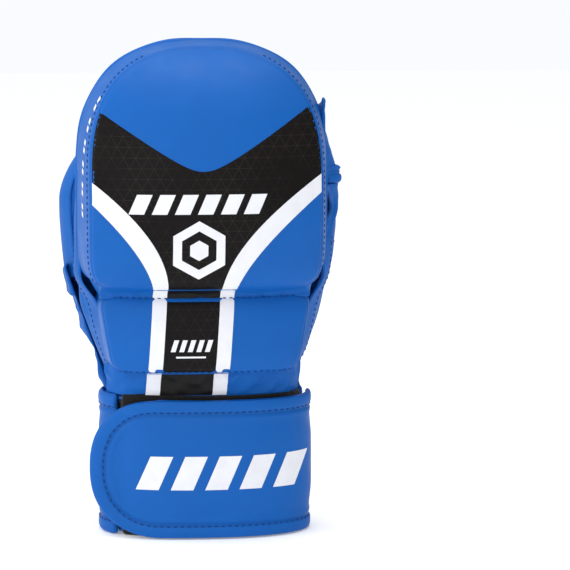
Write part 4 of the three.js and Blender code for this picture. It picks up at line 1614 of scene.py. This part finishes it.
def build_palm_bar():
    path = [(-63, 9), (-57, 15.5), (-40, 21), (-10, 23.8), (20, 23.8), (50, 21), (66, 17), (75, 11),
            (75.5, 5), (69, 0)]
    columns = 150
    line = catmull(path, columns)
    share = np.linspace(0, 1, columns)
    bottom = BAR_TOP - 5.5 - 2.5 * share
    top = BAR_TOP + 2.2 - 1.6 * share
    heights = band_rows(bottom, top, 3.6, 0.45, 4)
    grid = upright(line, heights)
    up = heights - bottom
    down = top - heights
    relief = 1.1 * np.sqrt(np.clip(1 - (up / 2.3 - 1) ** 2, 0, None)) * (up < 4.6)
    relief = relief - 0.4 * bump_at(up, 4.9, 0.4)
    lower_roll = 0.5 * np.sqrt(np.clip(1 - (down / 0.7 - 1) ** 2, 0, None)) * (down < 1.4)
    relief += lower_roll - 0.4 * bump_at(down, 1.6, 0.35)
    bar = sheet("palm_bar_leather", grid, 2.0, BINDING, relief, flip=True)
    tree = surface_tree(bar)
    row = np.column_stack([line[3:-12], (bottom + 5.6)[3:-12]])
    row[:, 1] += 2.0
    attach(stitches("palm_bar_stitches", [settle(tree, row, 0.05)], THREAD, radius=0.3,
                    pitch=3.1, length=2.0),
           "fingers")
    attach(bar, "fingers", "palm_bar", slot="blue_leather")


# ---- Side walls and palm ----

def hand_edge(z):
    """Half-width, a little inside the hand pad's rim, at which a side wall meets the hand."""
    return HAND_WIDTH * (1 + HAND_TAPER * (z - HAND_CENTRE)) - 2


def build_little_side():
    """The gathered leather down the little-finger side, with its narrow vent beside the knuckle pad."""
    levels = [90, 100, 112, 128, 140, 150, 160, 166, 176, 184, 190]
    outer = [52.5, 58.0, 62.8, 67.2, 70.0, 72.6, 73.6, 74.2, 75.4, 75.6, 75.6]
    vent = [0, 0, 0, 0, 0, 0, 0, 0.35, 1.0, 0.75, 0.25]
    paths = []
    for z, reach, gap in zip(levels, outer, vent):
        if z < CREASE_Z:
            start = (min(hand_edge(z), reach - 5), -16)
        else:
            start = (66.3, -8)
        first = (start[0] + (reach - 1.5 - start[0]) * gap * 0.75, start[1] + 13 * gap)
        tuck = 3.2 * (1 - float(smoothstep(z, 90, 110)))
        paths.append([first, ((first[0] + reach) / 2 + 1.2, first[1] + 0.42 * (8 - first[1])),
                      (reach - tuck, 8),
                      (reach - 2.5 - tuck, 15 - tuck), (reach - 9, 18.5 - tuck), (reach - 15, 18.8 - tuck)])
    grid = lofted(paths, levels, 90, 60)
    z = grid[..., 2]
    gathers = 0.95 * np.sin(z * 2 * math.pi / 7.5 + 0.9 * np.sin(z / 9)) * smoothstep(z, 96, 112) * (
        1 - smoothstep(z, 152, 160))
    share = np.linspace(0, 1, grid.shape[1])[None, :]
    relief = gathers * bump_at(share, 0.35, 0.3) + fold_relief(grid, 11, 1.0, 11.0, (1, 1, 0.7))
    relief = relief - 1.2 * bump_at(z, 159.5, 1.2)
    wall = sheet("little_side_gusset_leather", grid, SOFT_LEATHER, SOFT_BLUE, relief, flip=True)
    front_edge = grid[:, 0].copy()
    front_edge[:, 0] += 0.4
    welt = tube("little_side_vent_binding", resample(front_edge[int(len(grid) * 0.68):], 60), 1.25, BINDING,
                sides=10)
    rear_edge = tube("little_side_palm_binding", resample(grid[:, -1], 120), 1.7, BINDING, sides=12)
    tree = surface_tree(wall)
    line = grid[:, int(0.2 * grid.shape[1])].copy()
    line[:, 0] += 4
    line[:, 1] -= 2
    row = settle(tree, resample(line[: int(len(line) * 0.72)], 150), 0.05)
    under = np.array([(67 + 9 * math.sin(t), -5 + 14 * t / math.pi, 160.5 - 3.0 * math.sin(t))
                      for t in np.linspace(0, math.pi, 60)])
    sewn = stitches("little_side_gusset_stitches", [row, settle(tree, under, 0.05)], THREAD, radius=0.3,
                    pitch=3.2, length=2.0)
    bend(wall, "hand", "fingers", *CREASE_BEND, "little_finger_side_wall", "little_side_hand_wall",
         slot="blue_leather")
    bend(rear_edge, "hand", "fingers", *CREASE_BEND)
    bend(sewn, "hand", "fingers", *CREASE_BEND)
    attach(welt, "fingers")


def build_thumb_side():
    """The leather from the dorsal pads round the thumb side to the palm, behind the thumb guard."""
    levels = [88, 98, 112, 128, 140, 155, 172, 190, 204]
    outer = [-51.5, -55.5, -61.0, -66.0, -68.0, -68.6, -68.4, -67.2, -66.2]
    paths = []
    for z, reach in zip(levels, outer):
        if z < CREASE_Z:
            edge = -hand_edge(z)
            start = (max(edge, reach + 4), -16)
        else:
            start = (-66.0 if z < 196 else -64.5, -8)
        paths.append([start, ((start[0] + reach) / 2 - 1.0, -2), (reach, 5), (reach + 3.5, 12),
                      (reach + 14, 16),
                      (-40, 17.2), (-28, 17.6)])
    grid = lofted(paths, levels, 90, 80)
    z = grid[..., 2]
    share = np.linspace(0, 1, grid.shape[1])[None, :]
    gathers = 0.8 * np.sin(z * 2 * math.pi / 9.0 + 1.2 * np.sin(z / 11)) * smoothstep(z, 120, 132) * (
        1 - smoothstep(z, 160, 172))
    relief = gathers * bump_at(share, 0.3, 0.2) + fold_relief(grid, 13, 1.1, 15.0, (1, 1, 0.8))
    wall = sheet("thumb_side_gusset_leather", grid, SOFT_LEATHER, SOFT_BLUE, relief)
    tree = surface_tree(wall)
    line = grid[:, int(0.2 * grid.shape[1])].copy()
    line[:, 0] -= 4
    line[:, 1] -= 2
    row = settle(tree, resample(line[: int(len(line) * 0.7)], 170), 0.05)
    sewn = stitches("thumb_side_gusset_stitches", [row], THREAD, radius=0.3, pitch=3.2, length=2.0)
    bend(wall, "hand", "fingers", *CREASE_BEND, "index_side_wall", "thenar_panel", slot="blue_leather")
    bend(sewn, "hand", "fingers", *CREASE_BEND)


def build_wrist_sides():
    """Soft leather on each side between cuff and hand, tucked into the cuff and under the side walls."""
    levels = [CUFF_TOP - 5, 82, 90, 98]
    reach = [47.5, 48.5, 50.5, 53]
    for side, name in ((-1, "thumb_side_wrist_leather"), (1, "little_side_wrist_leather")):
        paths = [[(side * 43, -14), (side * x, -6), (side * x, 5), (side * (x - 4), 12)] for x in reach]
        grid = lofted(paths, levels, 40, 40)
        piece = sheet(name, grid, THIN_LEATHER, SOFT_BLUE, fold_relief(grid, 7, 0.9, 61.0), flip=side > 0)
        bend(piece, "cuff", "hand", (0, 0, CUFF_TOP - 1), (0, 0, 94))


def build_pad_corners():
    """Soft leather that closes the corner under the knuckle pad on each side, at the crease."""
    levels = [124, 132, 140, 150, 165, 180]
    reach = [54, 56.5, 61, 65, 66.3, 66.3]
    depth = [-15, -14, -11.5, -9, -8, -7.5]
    valley = [-19, -20, -27, -27, -20, -19]
    for side, name in ((-1, "thumb_side_corner_leather"), (1, "little_side_corner_leather")):
        paths = [[(side * 42, deep), (side * (x + 50) / 2, deep + 1.5), (side * x, y)]
                 for x, y, deep in zip(reach, depth, valley)]
        grid = lofted(paths, levels, 50, 30)
        corner = sheet(name, grid, THIN_LEATHER, SOFT_BLUE, fold_relief(grid, 8, 0.7, 51.0), flip=side > 0)
        bend(corner, "hand", "fingers", *CREASE_BEND)


def hole_edge(z):
    """The palm opening's thumb-side edge."""
    return -15.8 + 8.0 * smoothstep(150 - z, 0, 75) + 1.6 * smoothstep(z, 165, 192)


def build_palm_strip():
    """The bound strip beside the palm opening, from the palm bar down to the cuff."""
    low, high = CUFF_TOP - 1.5, BAR_TOP - 3.5
    rows = 120
    levels = np.linspace(low, high, rows)
    across = np.concatenate([np.arange(0, 9.6, 0.6), np.linspace(10.5, 24, 9)])
    grid = np.empty((rows, len(across), 3))
    depth = 21.0 + 1.6 * smoothstep(levels, 150, 190) - 2.4 * (1 - smoothstep(levels, 76, 92))
    edge = hole_edge(levels)
    for c, inward in enumerate(across):
        grid[:, c, 0] = edge - inward
        grid[:, c, 1] = depth - 0.0035 * inward**2 * 4 - 0.9 * smoothstep(inward, 8, 20)
        grid[:, c, 2] = levels
    inward = np.broadcast_to(across[None, :], grid.shape[:2])
    relief = 1.0 * np.sqrt(np.clip(1 - (inward / 3.4 - 1) ** 2, 0, None)) * (inward < 6.8)
    relief = relief - 0.5 * bump_at(inward, 7.1, 0.6) + 0.35 * bump_at(inward, 8.8, 0.9)
    strip = sheet("palm_opening_strip_leather", grid, 2.0, BLUE, relief, flip=False)
    tree = surface_tree(strip)
    row = np.column_stack([edge - 7.1, depth + 4, levels])
    sewn = stitches("palm_opening_strip_stitches", [settle(tree, row, 0.05)], THREAD, radius=0.3, pitch=3.3,
                    length=2.2)
    bend(strip, "hand", "fingers", *CREASE_BEND)
    bend(sewn, "hand", "fingers", *CREASE_BEND)
    loop_turn = np.linspace(0.2 * math.pi, 1.8 * math.pi, 30)
    middle = np.array([float(hole_edge(157)) + 4.2, 22.0, 157.0])
    loop = [middle + np.array([-3.6 * math.cos(a), 0.8 * math.sin(2 * a),
                               4.4 * math.sin(a)]) for a in loop_turn]
    attach(tube("palm_thread_loop", np.array(loop), 0.55, THREAD, sides=8), "fingers")


def build_hand_lining():
    """The dark mesh inside the hand, quilted across at two heights."""
    levels = [88, 110, 136, 165]
    paths = []
    for z in levels:
        wide = 50 if z < 130 else 58
        back = -11.5
        paths.append([(-wide, -2), (-wide * 0.8, back + 4), (-wide * 0.4, back), (0, back - 0.5),
                      (wide * 0.4, back),
                      (wide * 0.8, back + 4), (wide, -2)])
    grid = lofted(paths, levels, 80, 80)
    z = grid[..., 2]
    relief = -1.3 * bump_at(z, 135.5, 1.6) - 1.2 * bump_at(z, 93, 1.5)
    relief = relief + 0.9 * np.sin(math.pi * (z - 93) / 42.5) ** 2
    relief = relief + fold_relief(grid, 26, 0.8, 9.0)
    lining = sheet("hand_mesh_lining", grid, 1.0, LINER, relief, flip=True)
    bend(lining, "hand", "fingers", (0, 0, 128), (0, 0, 148), "backhand_pad_lining", slot="mesh_lining")


build_wrist_gusset()
build_crease()
build_pad_stitches()
build_knuckle_lining()
build_rim()
build_stalls()
build_suede()
build_palm_bar()
build_little_side()
build_thumb_side()
build_pad_corners()
build_wrist_sides()
build_palm_strip()
build_hand_lining()


# ---- Thumb guard, worked in its own frame: X across, Z along the thumb, Y out to the pads ----

THUMB_PIVOT, THUMB_AXIS = joint("thumb_swing")
THUMB_TIP_PIVOT, _ = joint("thumb_tip_flex")
THUMB_TILT = math.asin(abs(THUMB_AXIS[2]))
THUMB_ROOT = THUMB_PIVOT
THUMB_HALF = 24.5
THUMB_LENGTH = 127.0
THUMB_FOOT = 13.0  # the guard's leather starts here, above the creased leather of the hand
THUMB_SLOPE = 0.44
TIP_ARC = 39.0
CAVITY = 18.0
PAD_BORDER = 6.4
FOOT_MIDDLE = 40.0
FOOT_SLOPE = 0.46


def to_thumb(point):
    """A point of the glove's frame in the thumb's."""
    c, s = math.cos(THUMB_TILT), math.sin(THUMB_TILT)
    x, y, z = np.asarray(point, float) - THUMB_ROOT
    return np.array([x, c * y - s * z, s * y + c * z])


def from_thumb(points):
    """Thumb-frame points in the glove's frame."""
    points = np.asarray(points, float)
    c, s = math.cos(THUMB_TILT), math.sin(THUMB_TILT)
    y = c * points[..., 1] + s * points[..., 2]
    z = -s * points[..., 1] + c * points[..., 2]
    return np.stack([points[..., 0], y, z], axis=-1) + THUMB_ROOT


THUMB_FOLD = float(to_thumb(THUMB_TIP_PIVOT)[2])


def thumb_reach(z, side):
    """How far the guard reaches from its middle line: side 1 towards the palm, -1 outwards."""
    z = np.asarray(z, float)
    if side > 0:
        tip = np.clip((z - (THUMB_LENGTH - 20)) / 20, 0, 1)
        root = np.clip((50 - z) / 50, 0, 1)
        return (THUMB_HALF - 0.5) * np.sqrt(np.clip(1 - tip**2.2, 0, 1)) - 1.5 * root
    tip = np.clip((z - (THUMB_LENGTH - TIP_ARC)) / TIP_ARC, 0, 1)
    root = np.clip((THUMB_LENGTH - TIP_ARC - 8 - z) / 80, 0, 1)
    return (THUMB_HALF + 2.3) * (1 - tip**1.63) ** 0.8 - 8.5 * root**1.4


def crease_height(x):
    """The slanting fold between the two thumb pads."""
    return THUMB_FOLD - THUMB_SLOPE * x


def foot_height(x):
    """Lower edge of the lower pad."""
    return FOOT_MIDDLE - FOOT_SLOPE * x


def guard_foot(x):
    """Where the guard's own leather ends, tucked under the creased leather of the hand."""
    return foot_height(x) - 9.0


def thumb_ring(inset, count, above=0.0):
    """The guard's outline from the foot on the palm side, round the tip, to the foot on the outer side."""
    z = THUMB_FOOT + (THUMB_LENGTH - THUMB_FOOT) * np.sin(np.linspace(0, math.pi / 2, 160))
    right = np.column_stack([thumb_reach(z, 1), z])
    left = np.column_stack([-thumb_reach(z, -1), z])[::-1]
    right[-1, 0] = 0.0
    ring = resample(np.vstack([right, left[1:]]), 700)
    for _ in range(30):
        ring[1:-1] = (ring[:-2] + 2 * ring[1:-1] + ring[2:]) / 4
    tangent = unit(np.gradient(ring, axis=0))
    inwards = np.column_stack([-tangent[:, 1], tangent[:, 0]])
    ring = ring + inwards * inset
    ring = ring[ring[:, 1] > guard_foot(ring[:, 0]) + above]
    return resample(ring, count)


def thumb_strip(inset, high, rows, columns, depth):
    """A grid across the guard from its foot up; depth(s) is its Y in the thumb frame, s -1 to 1."""
    s = np.linspace(-1, 1, columns)
    low = guard_foot(s * (THUMB_HALF - inset))
    grid = np.empty((rows, columns, 3))
    for r, t in enumerate(np.linspace(0, 1, rows)):
        z = low + (high - low) * t
        right = np.maximum(1.2, thumb_reach(z, 1) - inset)
        left = np.maximum(1.2, thumb_reach(z, -1) - inset)
        grid[r, :, 0] = -left + (right + left) * (s + 1) / 2
        grid[r, :, 1] = depth(s)
        grid[r, :, 2] = z
    return grid


def build_guard():
    """The leather round the thumb: gathered side walls, the back, and the mesh inside."""
    rows, columns = 36, 170
    ring = thumb_ring(0.0, columns)
    tangent = unit(np.gradient(ring, axis=0))
    outward = np.column_stack([tangent[:, 1], -tangent[:, 0]])
    level = np.linspace(0, 1, rows)
    spread = 2.0 * np.sin(math.pi * level) - 3.5 * (1 - level) ** 2
    grid = np.empty((rows, columns, 3))
    grid[..., 0] = ring[None, :, 0] + outward[None, :, 0] * spread[:, None]
    grid[..., 1] = (CAVITY + 4) * level[:, None]
    grid[..., 2] = ring[None, :, 1] + outward[None, :, 1] * spread[:, None]
    world = from_thumb(grid)
    along = np.concatenate([[0], np.cumsum(np.linalg.norm(np.diff(ring, axis=0), axis=1))])
    gather = np.sin(along * 2 * math.pi / 6.6 + 1.6 * np.sin(along / 17))
    outer_side = smoothstep(along, 0.52 * along[-1], 0.6 * along[-1])
    relief = gather[None, :] * (0.15 + 0.75 * level[:, None]) * (0.35 + 0.65 * outer_side[None, :])
    relief = relief + fold_relief(world, 9, 0.8, 17.0)
    relief = relief - 0.9 * bump_at(level[:, None], 0.84, 0.035)
    wall = sheet("thumb_guard_side_leather", world, 2.0, SOFT_BLUE, relief)
    back = from_thumb(thumb_strip(3.2, THUMB_LENGTH - 4, 60, 26, lambda s: 0 * s + 0.8))
    rear = sheet("thumb_guard_back_leather", back, SOFT_LEATHER, SOFT_BLUE, fold_relief(back, 12, 1.0, 23.0))
    inner = from_thumb(thumb_strip(2.8, THUMB_LENGTH - 6, 60, 30,
                                   lambda s: 2.6 + (CAVITY - 3) * np.abs(s) ** 5))
    lining = sheet("thumb_guard_mesh_lining", inner, 0.9, LINER, fold_relief(inner, 14, 0.5, 26.0))
    return wall, rear, lining


def thumb_pad_outline(upper):
    """The flat outline of one pad in the thumb frame, as evenly spaced (x, z) points."""
    gap = 1.5
    ring = thumb_ring(PAD_BORDER, 900)
    fold = crease_height(ring[:, 0])
    if upper:
        part = ring[ring[:, 1] > fold + gap]
    else:
        inside = (ring[:, 1] < fold - gap) & (ring[:, 1] > foot_height(ring[:, 0]))
        side = ring[:, 0] > 0
        part = np.vstack([ring[inside & side], ring[inside & ~side]])
    return resample(np.vstack([part, part[:1]]), 241)[:-1]


def soften(loop, rounds):
    """Rounds the corners of a closed flat loop."""
    for _ in range(rounds):
        loop = (np.roll(loop, 1, axis=0) + 2 * loop + np.roll(loop, -1, axis=0)) / 4
    return loop


def build_thumb_pad(name, upper, pressure=4.0):
    """A cushioned pad sewn to the guard's face."""
    n = 26
    loop = soften(thumb_pad_outline(upper), 14)
    centre = (loop.min(axis=0) + loop.max(axis=0)) / 2
    turn = np.arctan2(loop[:, 1] - centre[1], loop[:, 0] - centre[0])
    if np.sum(np.diff(np.unwrap(turn))) < 0:
        loop, turn = loop[::-1], turn[::-1]
    start = int(np.argmin(np.abs((turn + 3 * math.pi / 4 + math.pi) % (2 * math.pi) - math.pi)))
    loop = np.roll(loop, -start, axis=0)
    corners = []
    for wanted in (-3 * math.pi / 4, -math.pi / 4, math.pi / 4, 3 * math.pi / 4):
        angle = np.arctan2(loop[:, 1] - centre[1], loop[:, 0] - centre[0])
        corners.append(int(np.argmin(np.abs((angle - wanted + math.pi) % (2 * math.pi) - math.pi))))
    corners = sorted(corners)
    corners.append(len(loop) + corners[0])
    rim = []
    for a, b in zip(corners, corners[1:]):
        part = np.array([loop[k % len(loop)] for k in range(a, b + 1)])
        rim.append(resample(part, n + 1)[:-1])
    rim = np.vstack(rim)
    order = rim_indices(n)
    radius, _ = concentric(n)
    base = np.zeros(((n + 1) ** 2, 2))
    flat_radius = radius.reshape(-1)
    a, b = np.meshgrid(np.linspace(-1, 1, n + 1), np.linspace(-1, 1, n + 1))
    ring_place = {}
    for k, index in enumerate(order):
        ring_place[(round(a.reshape(-1)[index], 6), round(b.reshape(-1)[index], 6))] = rim[k]
    edge_angle = np.array([math.atan2(b.reshape(-1)[i], a.reshape(-1)[i]) for i in order])
    unrolled = np.unwrap(edge_angle)
    for i in range((n + 1) ** 2):
        r = flat_radius[i]
        if r < 1e-9:
            base[i] = centre
            continue
        u, v = a.reshape(-1)[i] / r, b.reshape(-1)[i] / r
        where = math.atan2(v, u)
        while where < unrolled[0]:
            where += 2 * math.pi
        while where >= unrolled[0] + 2 * math.pi:
            where -= 2 * math.pi
        at = np.interp(where, np.append(unrolled, unrolled[0] + 2 * math.pi), np.arange(4 * n + 1))
        k = int(at) % (4 * n)
        spot = rim[k] * (1 - at % 1) + rim[(k + 1) % (4 * n)] * (at % 1)
        base[i] = centre + (spot - centre) * r
    skin_r = 1 - (1 - flat_radius) ** 1.5
    dome = 5.6 * (1 - skin_r**3.2)
    floor = CAVITY + 3.0
    front = np.column_stack([base[:, 0], floor + 2.6 + dome, base[:, 1]])
    back = np.column_stack([base[:, 0], np.full(len(base), floor), base[:, 1]])
    points = np.vstack([front, back])
    size = (n + 1) ** 2
    faces = []
    for j in range(n):
        for i in range(n):
            k = j * (n + 1) + i
            quad = (k, k + 1, k + n + 2, k + n + 1)
            faces.append(quad)
            faces.append(tuple(size + m for m in quad[::-1]))
    for k in range(4 * n):
        e = (k + 1) % (4 * n)
        faces.append((order[e], order[k], size + order[k], size + order[e]))
    pad = face_outwards(mesh_piece(name, from_thumb(points), faces, BLUE))
    inflate(pad, set(order) | set(range(size, 2 * size)), pressure, 3.0)
    subdivide(pad, 2)
    return pad, rim, floor


def build_thumb():
    across_fold = unit([THUMB_SLOPE, 0, 1])
    start = from_thumb(np.array([0, 4, THUMB_FOLD]) - 8 * across_fold)
    end = from_thumb(np.array([0, 4, THUMB_FOLD]) + 8 * across_fold)
    wall, rear, lining = build_guard()
    bend(wall, "thumb", "thumb_tip", start, end, "thumb_channel_lower", "thumb_channel_upper",
         slot="blue_leather")
    bend(rear, "thumb", "thumb_tip", start, end)
    bend(lining, "thumb", "thumb_tip", start, end)

    # The face: a flat leather border that carries the two pads.
    face = from_thumb(thumb_strip(0.6, THUMB_LENGTH - 1.2, 90, 40, lambda s: 0 * s + CAVITY + 3.4))
    border = sheet("thumb_guard_face_leather", face, 2.0, BLUE, fold_relief(face, 10, 0.3, 41.0), flip=True)
    rim_line = thumb_ring(1.4, 320, above=5.0)
    rim_points = from_thumb(np.column_stack([rim_line[:, 0], np.full(320, CAVITY + 4.4), rim_line[:, 1]]))
    swell = 1 + 0.05 * np.sin(np.linspace(0, 70, 320))
    binding = tube("thumb_guard_rim_binding", rim_points, 2.6 * swell, BINDING, sides=14)
    tree = surface_tree(border)
    line = thumb_ring(4.7, 280, above=7.0)
    world = from_thumb(np.column_stack([line[:, 0], np.full(280, CAVITY + 8), line[:, 1]]))
    rows = [settle(tree, world, 0.05)]
    bend(binding, "thumb", "thumb_tip", start, end)
    bend(border, "thumb", "thumb_tip", start, end)

    lower, lower_rim, _ = build_thumb_pad("thumb_pad_lower_leather", False)
    upper, upper_rim, _ = build_thumb_pad("thumb_pad_upper_leather", True)
    attach(lower, "thumb", "thumb_pad_lower_cover", "thumb_pad_lower_foam", slot="blue_leather")
    attach(upper, "thumb_tip", "thumb_pad_upper_cover", "thumb_pad_upper_foam", slot="blue_leather")
    for name, rim, body in (("thumb_pad_lower_stitches", lower_rim, "thumb"),
                            ("thumb_pad_upper_stitches", upper_rim, "thumb_tip")):
        grown = rim + unit(rim - rim.mean(axis=0)) * 1.2
        loop = np.vstack([grown, grown[:1]])
        world = from_thumb(np.column_stack([loop[:, 0], np.full(len(loop), CAVITY + 8), loop[:, 1]]))
        attach(stitches(name, [settle(tree, world, 0.05)], THREAD, radius=0.34, pitch=3.3, length=2.3), body)
    edge_row = stitches("thumb_guard_edge_stitches", rows, THREAD, radius=0.3, pitch=3.6, length=2.3)
    bend(edge_row, "thumb", "thumb_tip", start, end)


def guard_section(columns, below_foot, swell):
    """A line round the guard's outer side, face and inner side, just below the foot of the lower pad."""
    wide = THUMB_HALF + swell
    line = np.array([(-wide, 0.0), (-wide, 8.0), (-wide, CAVITY - 1), (-wide + 4, CAVITY + 4 + swell),
                     (-wide * 0.4, CAVITY + 4.6 + swell), (wide * 0.4, CAVITY + 4.6 + swell),
                     (wide - 3, CAVITY + 4.4 + swell), (wide, CAVITY + 1), (wide, 10.0), (wide, 3.0)])
    line = catmull(line, columns)
    z = foot_height(line[:, 0]) - below_foot
    outer = line[:, 0] < 0
    reach = np.where(outer, thumb_reach(z, -1), thumb_reach(z, 1)) + swell
    line[:, 0] = line[:, 0] / wide * reach
    return from_thumb(np.column_stack([line[:, 0], line[:, 1], z]))


def build_thumb_base():
    """The creased leather that joins the thumb guard to the hand above the cuff."""
    rows, columns = 96, 120
    low = CUFF_TOP - 4
    inner = float(hole_edge(low)) - 7.5
    foot_line = np.array([(-49.5, 1, low), (-50, 7, low), (-48, 13, low), (-43, 17.5, low), (-35, 19.5, low),
                          (-24, 18.5, low), (inner, 17, low)])
    bottom = catmull(foot_line, columns)
    lower = guard_section(columns, 9.0, 1.7)
    upper = guard_section(columns, 2.6, 1.5)
    middle = bottom * 0.56 + lower * 0.44
    share = np.linspace(0, 1, columns)
    middle[:, 1] += 1.5 * np.sin(math.pi * share)
    grid = np.empty((rows, columns, 3))
    for c in range(columns):
        grid[:, c] = catmull([bottom[c], middle[c], lower[c], upper[c]], rows)
    flat = grid.reshape(-1, 3)
    away = flat - np.array([-30.0, 40.0, 126.0])
    angle = np.arctan2(away[:, 2], away[:, 0])
    distance = np.linalg.norm(away[:, [0, 2]], axis=1)
    rays = np.sin(angle * 8.5 + 0.6 * np.sin(distance / 7.0)) * smoothstep(distance, 3, 16)
    rays = (rays * (1 - 0.5 * smoothstep(distance, 36, 66))).reshape(rows, columns)
    relief = 1.5 * np.sign(rays) * np.abs(rays) ** 1.3 + fold_relief(grid, 13, 1.5, 33.0, (0.8, 1, 1.2))
    relief = relief + fold_relief(grid, 5.5, 0.4, 35.0)
    level = np.linspace(0, 1, rows)[:, None]
    relief = relief * smoothstep(level, 0.0, 0.1) * (1 - 0.85 * smoothstep(level, 0.74, 0.94))
    cut = 24
    foot = sheet("thumb_base_wrist_leather", grid[:cut + 2], SOFT_LEATHER, SOFT_BLUE, relief[:cut + 2],
                 flip=True)
    bend(foot, "cuff", "hand", (0, 0, CUFF_TOP - 1), (0, 0, 89))
    base = sheet("thumb_base_leather", grid[cut:], SOFT_LEATHER, SOFT_BLUE, relief[cut:], flip=True)
    bend(base, "hand", "thumb", (0, 0, 92), (0, 0, 112))


build_thumb()
build_thumb_base()


# ---- Ground, light and camera ----

def build_stage():
    reach, ground = 3000, -1
    corners = [(-reach, -reach, ground), (reach, -reach, ground), (reach, reach, ground), (-reach, reach, ground)]
    shader = Shader("pale_floor", (0.93, 0.93, 0.94), 0.8, Emission_Color=(1, 1, 1, 1),
                    Emission_Strength=0.22)
    mesh_piece("floor", corners, [(0, 1, 2, 3)], shader.material)
    world = bpy.data.worlds.new("studio")
    bpy.context.scene.world = world
    world.use_nodes = True
    tree = world.node_tree
    background = tree.nodes["Background"]
    background.inputs["Color"].default_value = (0.95, 0.97, 1.0, 1)
    # The camera sees an even white; the light itself is soft, and stronger from the left and above.
    light_lean, light_strength, seen_strength = (-0.34, -0.06, 0.12), 0.76, 1.0
    seen = tree.nodes.new("ShaderNodeLightPath").outputs["Is Camera Ray"]
    direction = tree.nodes.new("ShaderNodeTexCoord").outputs["Generated"]
    slope = tree.nodes.new("ShaderNodeVectorMath")
    slope.operation = "DOT_PRODUCT"
    slope.inputs[1].default_value = light_lean
    tree.links.new(direction, slope.inputs[0])
    soft = tree.nodes.new("ShaderNodeMath")
    soft.inputs[1].default_value = light_strength
    tree.links.new(slope.outputs["Value"], soft.inputs[0])
    strength = tree.nodes.new("ShaderNodeMix")
    tree.links.new(seen, strength.inputs["Factor"])
    tree.links.new(soft.outputs[0], strength.inputs[2])
    strength.inputs[3].default_value = seen_strength
    tree.links.new(strength.outputs[0], background.inputs["Strength"])

    def lamp(name, place, size, power, aim=(0, 0, 140)):
        data = bpy.data.lights.new(name, "AREA")
        data.shape = "RECTANGLE"
        data.size = size[0]
        data.size_y = size[1]
        data.energy = power
        lamp_object = bpy.data.objects.new(name, data)
        lamp_object.location = Vector(place) * MM
        direction = Vector(aim) - Vector(place)
        lamp_object.rotation_euler = direction.to_track_quat("-Z", "Y").to_euler()
        collection_link(lamp_object)

    lamp("top_softbox", (-60, -80, 1350), (0.9, 0.6), 8.5, (0, 0, 220))
    lamp("left_strip", (-1300, -450, 450), (0.4, 1.2), 5.0)
    lamp("front_fill", (-500, -1900, 700), (1.6, 1.2), 5.5)

    camera_data = bpy.data.cameras.new("camera")
    camera_data.lens = 183.7
    camera_data.shift_x = 0.147
    camera = collection_link(bpy.data.objects.new("camera", camera_data))
    azimuth, elevation, distance = math.radians(-4.5), math.radians(9), 1600
    aim = Vector((0, 0, 135))
    offset = Vector((math.sin(azimuth) * math.cos(elevation), -math.cos(azimuth) * math.cos(elevation),
                     math.sin(elevation)))
    camera.location = (aim + offset * distance) * MM
    camera.rotation_euler = (-offset).to_track_quat("-Z", "Y").to_euler()
    bpy.context.scene.camera = camera
    bpy.context.scene.view_settings.view_transform = "Standard"
    bpy.context.scene.view_settings.look = "None"


build_stage()
